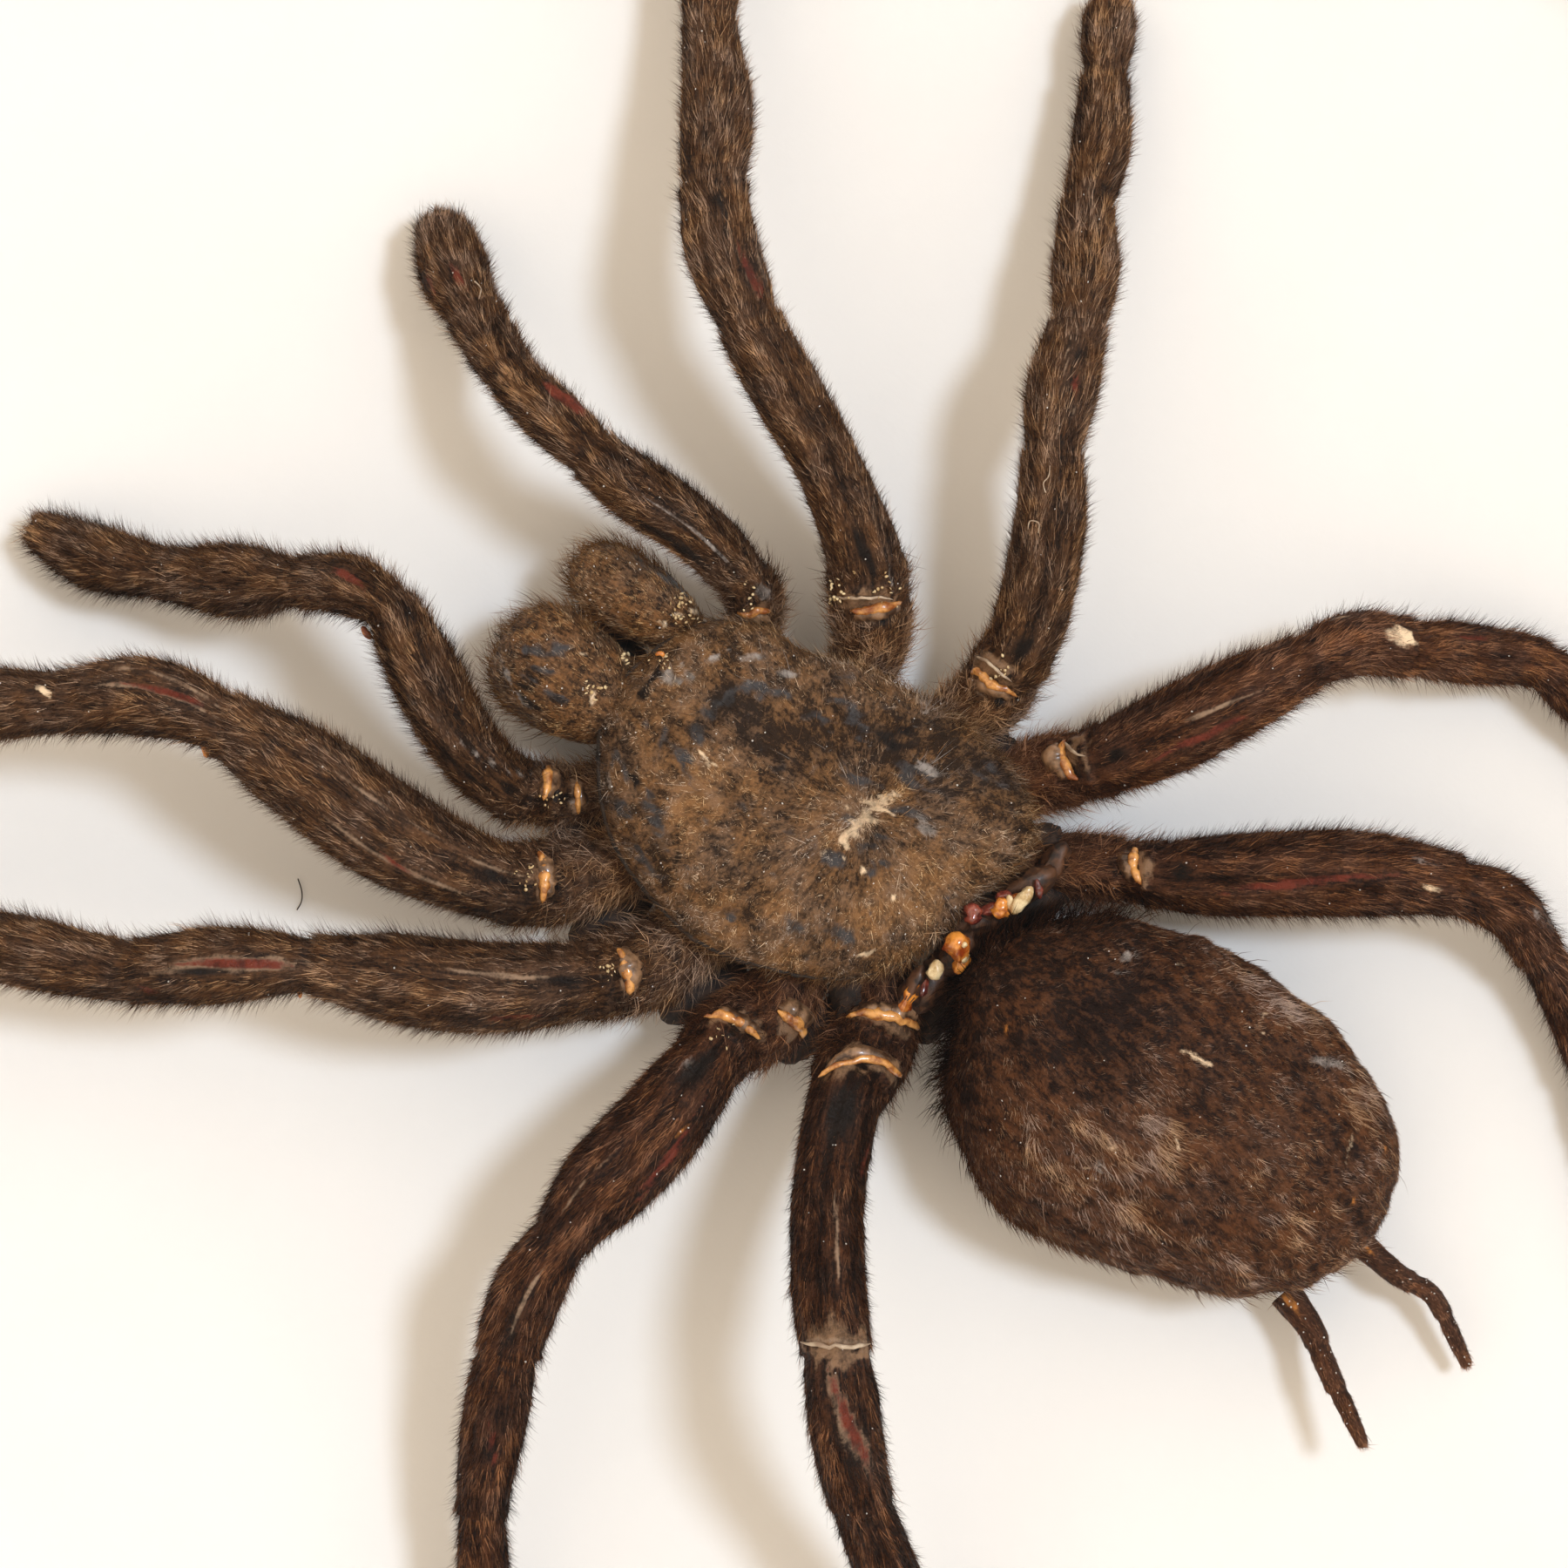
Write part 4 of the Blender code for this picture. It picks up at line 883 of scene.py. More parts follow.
    # How far each point is from the middle of an oval strip, whose ends are two spots seen from above:
    # 1 is its edge
    def stripEdge(self, x0, y0, x1, y1, width):
        (t0, a0), (t1, a1) = self.locate(x0, y0), self.locate(x1, y1)
        thick = np.interp((t0 + t1) / 2, self.travel, self.radius)
        half = math.hypot(t1 - t0, (a1 - a0) * thick) / 2
        across, ahead = (a1 - a0) * thick / 2 / half, (t1 - t0) / 2 / half
        dt = (self.travel - (t0 + t1) / 2)[:, None]
        da = (self.angle - (a0 + a1) / 2)[None] * thick
        along = (dt * ahead + da * across) / half
        beside = (da * ahead - dt * across) / (width / 2)
        return np.hypot(along, beside)

    # Points just above the skin, from one spot to another, that bow to a side
    def trace(self, x0, y0, x1, y1, bow, lift, shift, count=15):
        (t0, a0), (t1, a1) = self.locate(x0, y0), self.locate(x1, y1)
        share = np.linspace(0, 1, count)
        swell = shift + bow * 4 * share * (1 - share)
        travel, angle = t0 + (t1 - t0) * share + swell, a0 + (a1 - a0) * share

        def read(values):
            return np.stack([np.interp(travel, self.travel, column) for column in values.T], axis=-1)

        out = read(self.upward) * np.cos(angle)[:, None] + read(self.side) * np.sin(angle)[:, None]
        radius = np.interp(travel, self.travel, self.radius)
        return read(self.middle) + out * (radius + lift)[:, None]


# The coats of a large limb: short fur, longer strands in it, and a fringe that stands out sideways
hairCoats = {
    "fur": {
        "count": 29500, "length": (0.34, 0.98), "width": 0.036, "lift": (5, 22), "tone": (-0.05, 0.95),
        "unruly": 0.36, "grain": 0.52, "darkMany": 1.5, "streak": 0.80, "stray": 0.13, "tuft": 2.4,
    },
    "strands": {
        "count": 1900, "length": (0.7, 1.7), "width": 0.026, "lift": (6, 28), "joints": 2,
        "tone": (0.05, 1.15), "stray": 0.22, "unruly": 0.5,
    },
    "fringe": {
        "count": 9500, "length": (0.40, 1.20), "width": 0.030, "lift": (30, 66),
        "longFew": 1.7, "tone": (-0.05, 0.38), "stray": 0.28,
    },
    "fluff": {
        "count": 1700, "length": (0.7, 2.2), "width": 0.032, "lift": (14, 60), "joints": 2,
        "longFew": 1.3, "tone": (0.0, 0.85), "stray": 0.7,
    },
}
# How full and how long each limb's fringe is
fringes = {
    "leg_right_1": (1.1, 0.85), "leg_right_2": (1.1, 0.90), "leg_right_3": (1.1, 1.1),
    "leg_right_4": (1.2, 1.0), "leg_left_1": (1.8, 1.0), "leg_left_2": (1.6, 1.1),
    "leg_left_3": (1.1, 0.85), "leg_left_4": (0.8, 0.7), "palp_right": (1.2, 0.9), "palp_left": (1.6, 1.1),
    "spinneret_right": (0.12, 0.6), "spinneret_left": (0.12, 0.6),
}
limbShades = {
    "leg_left_4": -0.24, "leg_left_3": -0.10, "leg_right_3": 0.08, "leg_right_4": -0.02,
    "leg_left_2": -0.03, "leg_left_1": -0.02, "leg_right_2": 0.02, "palp_left": -0.06, "palp_right": -0.06,
    "spinneret_right": 0.16, "spinneret_left": 0.16,
}


def limbHair(limb, material, seed):
    fullness, reach = fringes[limb.name]
    topSide = 0.55 + 0.45 * np.cos(limb.angle)[None]
    rootward = smoothStep(0.0, 0.8, limb.position)[:, None]
    fur = (0.20 + 0.80 * topSide) * (1 - 0.93 * limb.bare) * (0.4 + 0.6 * rootward)
    sides = 0.12 + np.abs(np.sin(limb.angle))[None] ** 3 * (np.cos(limb.angle) > -0.4)
    coxa = fur * smoothStep(3.0, 2.0, limb.position)[:, None]
    weights = {"fur": fur, "strands": fur, "fringe": fur * sides, "fluff": coxa}
    size = (0.75 + 0.3 * smoothStep(1.5, 5, limb.position))[:, None] * (1 - 0.5 * limb.bare)
    size = size * (1.0 if limb.big else 0.5)
    share = 0.16 if not limb.big else 0.85 if limb.name.startswith("palp") else 1.0
    shares = {"fur": share, "strands": share, "fringe": fullness, "fluff": share}
    longer = {"fringe": reach, "fluff": 1.1}
    coats = {
        kind: {**coat, "count": int(coat["count"] * shares[kind]), "scale": size * longer.get(kind, 1.0)}
        for kind, coat in hairCoats.items() if limb.big or kind != "fluff"
    }
    growHair(limb.name, limb.name, limb.skin, coats, weights, material, seed)


# Bodies

# How far a closed outline lies from its middle in each direction
def marginReach(margin, middle, angles):
    away = np.asarray(margin) - middle
    turns = np.arctan2(away[:, 1], away[:, 0]) % (2 * math.pi)
    order = np.argsort(turns)
    turns, reaches = turns[order], np.hypot(away[:, 0], away[:, 1])[order]
    ring = np.concatenate([turns[-2:] - 2 * math.pi, turns, turns[:3] + 2 * math.pi])
    reach = np.concatenate([reaches[-2:], reaches, reaches[:3]])
    angles = angles % (2 * math.pi)
    place = np.searchsorted(ring, angles, side="right") - 1
    (t0, r0), (t1, r1), (t2, r2), (t3, r3) = (
        (ring[place + step], reach[place + step]) for step in (-1, 0, 1, 2)
    )
    share = (angles - t1) / (t2 - t1)
    slope1, slope2 = (r2 - r0) / (t2 - t0) * (t2 - t1), (r3 - r1) / (t3 - t1) * (t2 - t1)
    return curveBetween(r1, r2, slope1, slope2, share)


# Rings of points that take a profile from the underside to the top, and the margin's outline
def loftPoints(margin, middle, shares, heights, around):
    angles = np.linspace(0, 2 * math.pi, around, endpoint=False)
    reach = marginReach(margin, middle, angles)
    points = np.empty((len(shares), around, 3))
    points[..., 0] = middle[0] + shares[:, None] * reach * np.cos(angles)
    points[..., 1] = middle[1] + shares[:, None] * reach * np.sin(angles)
    points[..., 2] = cardFront + heights[:, None]
    return points


# A bell-shaped rise about a middle, given its half sizes
def mound(along, across, halfLength, halfWidth):
    return np.exp(-(along / halfLength) ** 2 - (across / halfWidth) ** 2)


# A soft-edged oval patch seen from above: middle, half length, half width and turn in degrees
def ovalPatch(points, x, y, halfLength, halfWidth, degrees=0, soft=0.35, ragged=0.30):
    turn = math.radians(degrees)
    dx, dy = points[..., 0] - x, points[..., 1] - y
    along = (dx * math.cos(turn) + dy * math.sin(turn)) / halfLength
    across = (dy * math.cos(turn) - dx * math.sin(turn)) / halfWidth
    edge = np.hypot(along, across) + ragged * ripples(points, 1.0, 51)
    return 1 - smoothStep(1 - soft, 1 + soft, edge)


# Turns a skin's patches, which are kept by kind, into its marks
def markPatches(skin, patches, seen, **edge):
    for kind, ovals in patches.items():
        for oval in ovals:
            skin.mark(kind, ovalPatch(skin.points, *oval, **edge) * seen)


# Sums patches whose last number says how much lighter or darker they are
def shadePatches(points, patches):
    return sum(ovalPatch(points, *patch[:5], soft=0.7) * patch[5] for patch in patches)


carapace = {
    "middle": (-0.4, -1.0),
    "margin": (
        (7.2, 0.6), (6.0, 3.6), (5.7, 5.9), (3.9, 8.5), (0.6, 9.7), (-2.6, 9.8), (-5.3, 8.1), (-7.9, 5.0),
        (-8.9, 1.6), (-9.1, -1.8), (-7.8, -5.6), (-5.1, -9.5), (-1.4, -11.2), (1.9, -11.4), (5.2, -12.0),
        (7.3, -10.4), (8.3, -6.6), (8.0, -2.9),
    ),
    # share of the margin's reach, and height, from the underside to the top
    "profile": (
        (0.0, 0.7), (0.25, 0.7), (0.41, 0.9), (0.45, 1.6), (0.45, 4.4), (0.52, 5.5), (0.78, 5.55),
        (0.94, 5.6), (0.985, 5.9), (0.975, 6.4), (0.92, 7.25), (0.81, 8.2), (0.65, 8.95), (0.44, 9.4),
        (0.22, 9.6), (0.0, 9.6),
    ),
    "rings": 92, "around": 156,
    "top": (6.2, 7.6), "high": (5.5, 6.2), "skirtTop": (6.4, 7.6),  # heights that these begin between
    "fovea": (1.4, -4.2), "foveaTurn": -12, "foveaHalf": (2.2, 0.75), "foveaDepth": 0.55,
    "tuft": (1.8, 0.20), "creaseWidth": 0.20, "creaseDepth": 0.13, "paleRise": 0.10,
    "uneven": ((0.11, 3.2, 22), (0.06, 1.2, 23), (0.03, 0.55, 26)),
    "wrinkles": (0.12, 1.0, 21), "wrinkled": (-1.0, 3.6, 2.2, 1.6),  # middle and half sizes of the place
    "lightness": ((0.17, 0.9, 25), (0.14, 2.2, 27)), "shading": 1.40,
    "rearward": -35,  # the bearing of the fullest fringe
    # the dark rim, which also stands for the shadow under the margin: first and last bearing, share of the
    # margin's reach, height and thickness
    "rim": (52, 262, 0.984, 6.15, 0.34),
    # bearing from the fovea, depth and width of the furrows that run out from it
    "furrows": (
        (62, 0.30, 0.8), (135, 0.36, 0.9), (165, 0.20, 0.6), (200, 0.22, 0.7), (235, 0.2, 0.6),
        (10, 0.22, 0.7), (-30, 0.2, 0.7), (100, 0.15, 0.5),
    ),
    # fine creases: x, y, half length, turn
    "creases": (
        (-6.3, -1.0, 2.1, -30), (-2.6, -1.3, 2.5, -40), (-1.6, -0.2, 2.7, -50), (1.6, 0.5, 2.2, 85),
        (4.4, -1.2, 2.5, 65), (-4.2, -3.2, 2.0, -15), (-0.6, -6.6, 1.8, 55), (3.4, -7.4, 1.6, -70),
    ),
    # bare and other patches: x, y, half length, half width, turn
    "patches": {
        "slate": (
            (-0.6, 5.0, 1.3, 0.36, 15), (1.4, 5.0, 1.1, 0.34, -15), (3.0, 3.9, 1.3, 0.38, -50),
            (-2.3, 4.5, 0.9, 0.32, 50), (-4.5, 7.5, 0.7, 0.34, -80), (-5.4, 4.1, 1.1, 0.42, 55),
            (-6.2, 5.5, 0.7, 0.32, 90), (3.7, 0.6, 0.6, 0.32, -85), (4.9, -0.6, 1.3, 0.40, 65),
            (4.5, -4.9, 1.3, 0.62, -85), (2.5, -3.0, 0.8, 0.36, -70), (-1.3, -4.3, 1.1, 0.45, -80),
            (-5.2, -5.1, 0.7, 0.34, 85), (-4.1, -7.1, 0.7, 0.38, -85), (7.2, -7.8, 0.8, 0.46, 85),
            (-0.2, -6.4, 0.7, 0.32, -25), (-6.9, -2.3, 0.7, 0.32, 85), (-7.6, 3.0, 1.2, 0.34, 80),
            (2.9, -5.9, 1.0, 0.40, -60), (0.6, -5.4, 0.8, 0.30, -20), (-2.2, 6.2, 0.6, 0.24, 20),
        ),
        "frost": (
            (0.8, 7.7, 0.75, 0.40, -50), (2.9, 6.7, 0.5, 0.22, -40), (4.0, 5.4, 0.5, 0.22, -50),
            (4.4, 3.4, 0.6, 0.24, -50), (2.9, -6.7, 0.8, 0.26, 75), (7.6, -3.1, 0.5, 0.24, 60),
            (-5.6, 7.0, 0.5, 0.20, 60), (5.2, -5.2, 0.7, 0.20, -80),
        ),
        "dark": ((5.4, -2.9, 1.0, 0.55, -50), (-4.6, 5.9, 0.6, 0.25, 40), (-0.2, 8.6, 1.6, 0.25, 10)),
    },
    "pale": (
        (1.3, -4.2, 2.5, 0.20, -10), (2.4, -4.4, 1.0, 0.24, -14), (0.2, -3.98, 0.9, 0.17, -12),
        (1.9, -3.7, 0.6, 0.09, -75), (0.3, -4.5, 0.5, 0.08, -30), (1.5, -4.8, 0.6, 0.08, -60),
        (-0.5, -4.5, 0.8, 0.09, 30), (0.9, -3.6, 0.5, 0.09, 50), (2.2, -4.9, 0.5, 0.09, -80),
        (-1.7, 3.9, 0.8, 0.08, -70), (-1.5, 4.1, 0.8, 0.08, 65), (-0.9, -7.9, 0.22, 0.16, 0),
        (-3.9, -8.8, 0.6, 0.14, -35), (-0.8, -5.8, 0.2, 0.15, 0),
    ),
    # lighter and darker patches
    "shades": (
        (-3.0, 3.3, 1.9, 1.2, 15, 0.42), (1.4, 2.4, 2.8, 1.3, 80, -0.36), (4.8, -2.4, 2.8, 1.2, -70, -0.34),
        (6.6, -7.0, 3.2, 1.1, 85, -0.40), (0.2, -3.4, 1.8, 1.3, 0, 0.34), (-0.4, -8.2, 3.2, 1.7, -10, 0.30),
        (-7.6, -2.0, 2.2, 0.9, 85, 0.32), (-4.8, -4.0, 2.2, 1.3, 30, 0.20), (0.9, 7.2, 1.8, 0.8, 0, 0.16),
        (-4.2, 5.2, 1.0, 0.8, 0, 0.20), (-6.2, 3.0, 1.4, 0.8, 70, -0.14), (0.6, 5.0, 1.8, 0.7, 0, -0.22),
        (3.0, 0.2, 1.6, 1.0, 60, -0.20), (-5.6, 0.9, 1.4, 0.8, 20, 0.14), (5.2, 2.0, 1.8, 0.8, -80, -0.08),
        (-1.0, -5.8, 1.2, 0.7, 0, -0.10), (4.0, -9.4, 1.8, 1.2, 0, 0.06), (-6.6, -6.2, 1.6, 0.8, -50, 0.06),
    ),
    "hair": {
        "felt": {
            "count": 46000, "length": (0.12, 0.44), "width": 0.044, "lift": (4, 22), "swirl": 1.2,
            "tuft": 1.4, "stray": 0.45, "tone": (0.0, 0.95), "streak": 0.60, "grain": 0.38,
        },
        "skirt": {
            "count": 3600, "length": (0.7, 2.1), "width": 0.040, "lift": (-12, 22),
            "tone": (-0.05, 0.42), "stray": 0.30,
        },
        "fovea": {
            "count": 1300, "length": (0.2, 0.65), "width": 0.036, "lift": (4, 16), "longFew": 1.5,
            "tone": (0.75, 1.35), "stray": 0.5,
        },
        "rearFringe": {
            "count": 3800, "length": (0.4, 1.4), "width": 0.030, "lift": (6, 30), "joints": 2,
            "longFew": 1.8, "tone": (0.0, 0.85), "stray": 0.5,
        },
        "strays": {
            "count": 2600, "length": (0.2, 0.6), "width": 0.032, "lift": (8, 40), "joints": 2,
            "longFew": 2.0, "tone": (0.2, 1.0), "stray": 1.1,
        },
    },
}


def makeCarapace(materials, seed):
    form = carapace
    rows = readRows(form["profile"], np.linspace(0, len(form["profile"]) - 1, form["rings"]))
    shares, heights = np.maximum(rows[:, 0], 0), rows[:, 1]
    shares[0] = shares[-1] = 0.0
    points = loftPoints(form["margin"], form["middle"], shares, heights, form["around"])
    x, y = points[..., 0].copy(), points[..., 1].copy()
    top = smoothStep(*form["top"], above(points))
    foveaX, foveaY = form["fovea"]
    fromX, fromY = x - foveaX, y - foveaY
    far, bearing = np.hypot(fromX, fromY), np.arctan2(fromY, fromX)
    dips = np.zeros_like(far)
    for degrees, depth, width in form["furrows"]:
        off = np.angle(np.exp(1j * (bearing - math.radians(degrees)))) * far
        reach = smoothStep(0.8, 3.0, far) * (1 - smoothStep(6.5, 10.5, far))
        dips += depth * np.exp(-(off / width) ** 2) * reach
    for creaseX, creaseY, half, degrees in form["creases"]:
        oval = creaseX, creaseY, half, form["creaseWidth"], degrees
        dips += form["creaseDepth"] * ovalPatch(points, *oval, soft=0.8, ragged=0.4)
    turn = math.radians(form["foveaTurn"])
    across = fromY * math.cos(turn) - fromX * math.sin(turn)
    along = fromX * math.cos(turn) + fromY * math.sin(turn)
    dips += form["foveaDepth"] * mound(along, across, *form["foveaHalf"])
    pale = np.minimum(sum(ovalPatch(points, *patch, soft=0.55, ragged=0.3) for patch in form["pale"]), 1)
    wrinkledX, wrinkledY, *wrinkledHalf = form["wrinkled"]
    wrinkles = unevenness(points, form["wrinkles"]) * mound(x - wrinkledX, y - wrinkledY, *wrinkledHalf)
    uneven = unevenness(points, *form["uneven"])
    points[..., 2] += top * (uneven + wrinkles - dips + form["paleRise"] * pale)
    comb = np.stack([fromX, fromY, np.zeros_like(far)], axis=-1) + (0.01, 0.0, 0.0)
    skin = Skin(points, comb, np.stack([np.cos(bearing) * 7, np.sin(bearing) * 7, far * 0.45], axis=-1))
    markPatches(skin, form["patches"], top * 0.90, soft=0.8, ragged=0.9)
    skin.mark("slate", smoothStep(0.3, 1.4, ripples(points, 1.4, 24)) * top * 0.72)
    skin.mark("frost", smoothStep(0.9, 1.7, ripples(points, 0.8, 29)) * top * 0.62)
    skin.mark("pale", pale * top)
    skin.marks["light"] = unevenness(points, *form["lightness"]) - 0.03
    skin.marks["light"] += form["shading"] * shadePatches(points, form["shades"])
    skin.build("carapace_shell", materials["carapaceShell"], "carapace", "cephalothorax")
    high = smoothStep(*form["high"], above(points))
    middleX, middleY = form["middle"]
    rearward = 0.5 + 0.5 * np.cos(np.arctan2(y - middleY, x - middleX) - math.radians(form["rearward"]))
    edge = high * (1 - 0.93 * smoothStep(*form["skirtTop"], above(points)))
    weights = {
        "felt": skin.haired(0.72) * (0.04 + 0.96 * high), "skirt": edge,
        "fovea": top * mound(along, across, *form["tuft"]) + 1e-5,
        "rearFringe": edge * (0.08 + rearward ** 3), "strays": high * skin.haired(),
    }
    fur = materials["carapaceFur"]
    growHair("carapace", "cephalothorax", skin, form["hair"], weights, fur, seed)
    # a dark rod along the front and the left side: the bare rim, darkened as painted shadow under the
    # margin
    first, last, share, height, thickness = form["rim"]
    angles = np.radians(np.linspace(first, last, 150))
    reach = marginReach(form["margin"], form["middle"], angles) * share
    rim = np.stack([
        middleX + reach * np.cos(angles), middleY + reach * np.sin(angles),
        np.full_like(angles, cardFront + height),
    ], axis=-1)
    rim += unevenness(rim, (0.05, 1.0, 28))[:, None]
    addRods("carapace_rim_and_shadow", [taperedRod(rim, thickness)], materials["darkRim"])
    return skin


abdomen = {
    "middle": (-0.9, -25.6),
    "margin": (
        (8.2, -24.8), (7.4, -20.9), (5.8, -17.6), (3.4, -14.9), (0.9, -13.4), (-1.6, -13.2), (-4.4, -14.6),
        (-7.3, -16.6), (-9.0, -19.4), (-9.9, -23.0), (-9.1, -27.0), (-7.5, -31.3), (-5.5, -34.7),
        (-2.6, -37.3), (1.2, -38.4), (4.4, -37.2), (7.0, -34.3), (8.1, -30.4),
    ),
    "bottom": 0.6, "widest": 5.4, "top": 11.1, "squareness": 0.86, "inset": 0.16,
    "rings": 84, "around": 140,
    "lumps": ((0.22, 5.0, 31), (0.10, 1.8, 32), (0.03, 0.7, 33)), "foldDepth": 0.30,
    "clouds": ((0.07, 1.6, 34), (0.06, 0.7, 35), (0.10, 4.0, 36)), "streaks": (0.12, 1.3, 37),
    "front": (-23.5, -15.0), "frontDark": 0.34,  # where the abdomen turns darker
    "patches": {
        "pale": (
            (2.5, -25.0, 0.8, 0.17, -75), (6.2, -26.3, 0.34, 0.12, 20), (5.6, -26.8, 0.32, 0.11, 60),
            (6.9, -27.6, 0.4, 0.10, 40), (5.3, -34.5, 0.15, 0.12, 0), (5.8, -21.4, 0.3, 0.2, 30),
            (-5.2, -24.1, 0.2, 0.15, 0), (-5.3, -24.9, 0.25, 0.18, 0), (-3.7, -24.4, 0.55, 0.10, 80),
            (-1.5, -26.9, 0.6, 0.09, 55), (3.9, -33.9, 0.8, 0.10, 25),
        ),
        "frost": ((6.6, -30.4, 1.1, 0.30, -70), (-4.9, -24.5, 0.5, 0.25, 60), (4.0, -19.0, 0.6, 0.25, 10)),
        "amber": ((-2.4, -16.6, 0.9, 0.12, 5), (4.9, -35.6, 0.14, 0.12, 0), (2.0, -35.9, 0.14, 0.12, 0)),
    },
    # lighter and darker patches: the light ones about (-3, -24.5) and along the right margin at (7.3,
    # -26.4) are a painted sheen highlight, and the dark one on the fold at (1.2, -36.6) is painted shade in
    # the fold
    "shades": (
        (-3.0, -24.4, 2.7, 1.5, -70, 0.28), (-3.8, -24.6, 1.5, 0.7, 70, 0.18),
        (-1.8, -25.6, 1.3, 0.7, 55, 0.16), (-5.4, -24.4, 1.6, 0.8, -85, 0.20),
        (-7.0, -23.6, 3.6, 1.0, -80, 0.12), (0.6, -20.6, 3.4, 3.0, 0, -0.30),
        (4.0, -21.6, 2.4, 1.8, 60, -0.20), (1.8, -25.6, 1.8, 1.4, 0, -0.12),
        (7.3, -26.4, 2.8, 0.7, 85, 0.30), (5.0, -29.6, 2.0, 1.0, 70, -0.26),
        (1.2, -36.6, 1.5, 0.5, 65, -0.30), (3.4, -18.4, 1.2, 0.6, 20, 0.22),
        (-4.8, -19.0, 2.2, 1.2, 60, 0.14), (5.6, -33.6, 1.8, 0.9, 60, 0.10),
        (-3.0, -33.8, 2.4, 1.0, 20, 0.10), (6.2, -22.6, 1.6, 0.5, 70, 0.20),
    ),
    "folds": ((1.2, -36.6, 1.8, 0.5, 65), (4.2, -34.4, 1.6, 0.4, 20), (3.9, -30.4, 2.6, 0.7, -50)),
    "hair": {
        "pelt": {
            "count": 74000, "length": (0.20, 0.66), "width": 0.042, "lift": (6, 26), "swirl": 0.6,
            "tuft": 2.4, "stray": 0.26, "tone": (0.02, 0.80), "grain": 0.42, "streak": 0.7, "unruly": 0.35,
        },
        "sheen": {
            "count": 1800, "length": (0.6, 1.5), "width": 0.030, "lift": (6, 24), "joints": 2,
            "tone": (0.2, 1.0), "stray": 0.25,
        },
        "ruff": {
            "count": 2600, "length": (0.8, 2.3), "width": 0.044, "lift": (30, 80), "joints": 2,
            "tone": (0.0, 0.40), "stray": 0.6,
        },
        "flap": {
            "count": 2600, "length": (0.5, 1.5), "width": 0.040, "lift": (14, 40), "joints": 2,
            "longFew": 1.6, "tone": (0.05, 0.50),
        },
        "hem": {
            "count": 2600, "length": (0.5, 1.6), "width": 0.040, "lift": (20, 60), "joints": 2,
            "longFew": 2.2, "tone": (0.1, 0.7), "stray": 0.3,
        },
    },
}


def makeAbdomen(materials, seed):
    form = abdomen
    angle = np.linspace(-math.pi / 2, math.pi / 2, form["rings"])
    rise = np.sign(np.sin(angle)) * np.abs(np.sin(angle)) ** form["squareness"]
    half = np.where(rise > 0, form["top"] - form["widest"], form["widest"] - form["bottom"])
    shares = np.maximum(np.cos(angle), 0) ** form["squareness"]
    shares[0] = shares[-1] = 0.0
    heights = form["widest"] + rise * half
    points = loftPoints(form["margin"], form["middle"], shares, heights, form["around"])
    outward = unit(points - (*form["middle"], cardFront + form["widest"]))
    lumps = unevenness(points, *form["lumps"])
    lumps -= sum(form["foldDepth"] * ovalPatch(points, *fold, soft=0.8) for fold in form["folds"])
    points += outward * (lumps - form["inset"])[..., None]
    comb = np.zeros_like(points) + (0.1, -1.0, 0.0) + outward * (0.7, 0.5, 0.0)
    combed = points * (1.0, 0.4, 0.8)
    skin = Skin(points, comb, combed)
    x, y, height = points[..., 0], points[..., 1], above(points)
    top = smoothStep(6.0, 8.0, height)
    markPatches(skin, form["patches"], top * 0.72, soft=0.6, ragged=0.6)
    clouds = unevenness(points, *form["clouds"]) + unevenness(combed * (1.0, 0.7, 1.0), form["streaks"])
    front = form["frontDark"] * smoothStep(*form["front"], y)
    # lightness: the painted sheen highlight and fold shade of the shades, darker towards the front, and
    # clouds
    skin.marks["light"] = shadePatches(points, form["shades"]) * top - front + clouds
    skin.build("abdomen_skin", materials["abdomenSkin"], "body_fur", "abdomen")
    high = smoothStep(0.8, 3.5, height)
    leftward = smoothStep(-2.0, -7.5, x) * smoothStep(9.0, 6.5, height)
    hem = smoothStep(1.0, 2.0, height) * smoothStep(6.5, 4.5, height)
    hem = hem * smoothStep(3.0, -3.0, x) * smoothStep(-22.0, -27.0, y)
    weights = {
        "pelt": (0.08 + 0.92 * high) * skin.haired(0.75),
        # pale sheen hairs lie where the painted sheen highlight is
        "sheen": top * smoothStep(0.10, 0.40, skin.marks["light"]),
        "ruff": smoothStep(1.0, 2.0, height) * smoothStep(8.0, 6.0, height) * smoothStep(-19.0, -15.0, y),
        "flap": leftward * smoothStep(-29.0, -24.0, y) * high + 0.006, "hem": hem + 0.01 * high,
    }
    fur = materials["abdomenFur"]
    growHair("abdomen", "abdomen", skin, form["hair"], weights, fur, seed)
    return skin


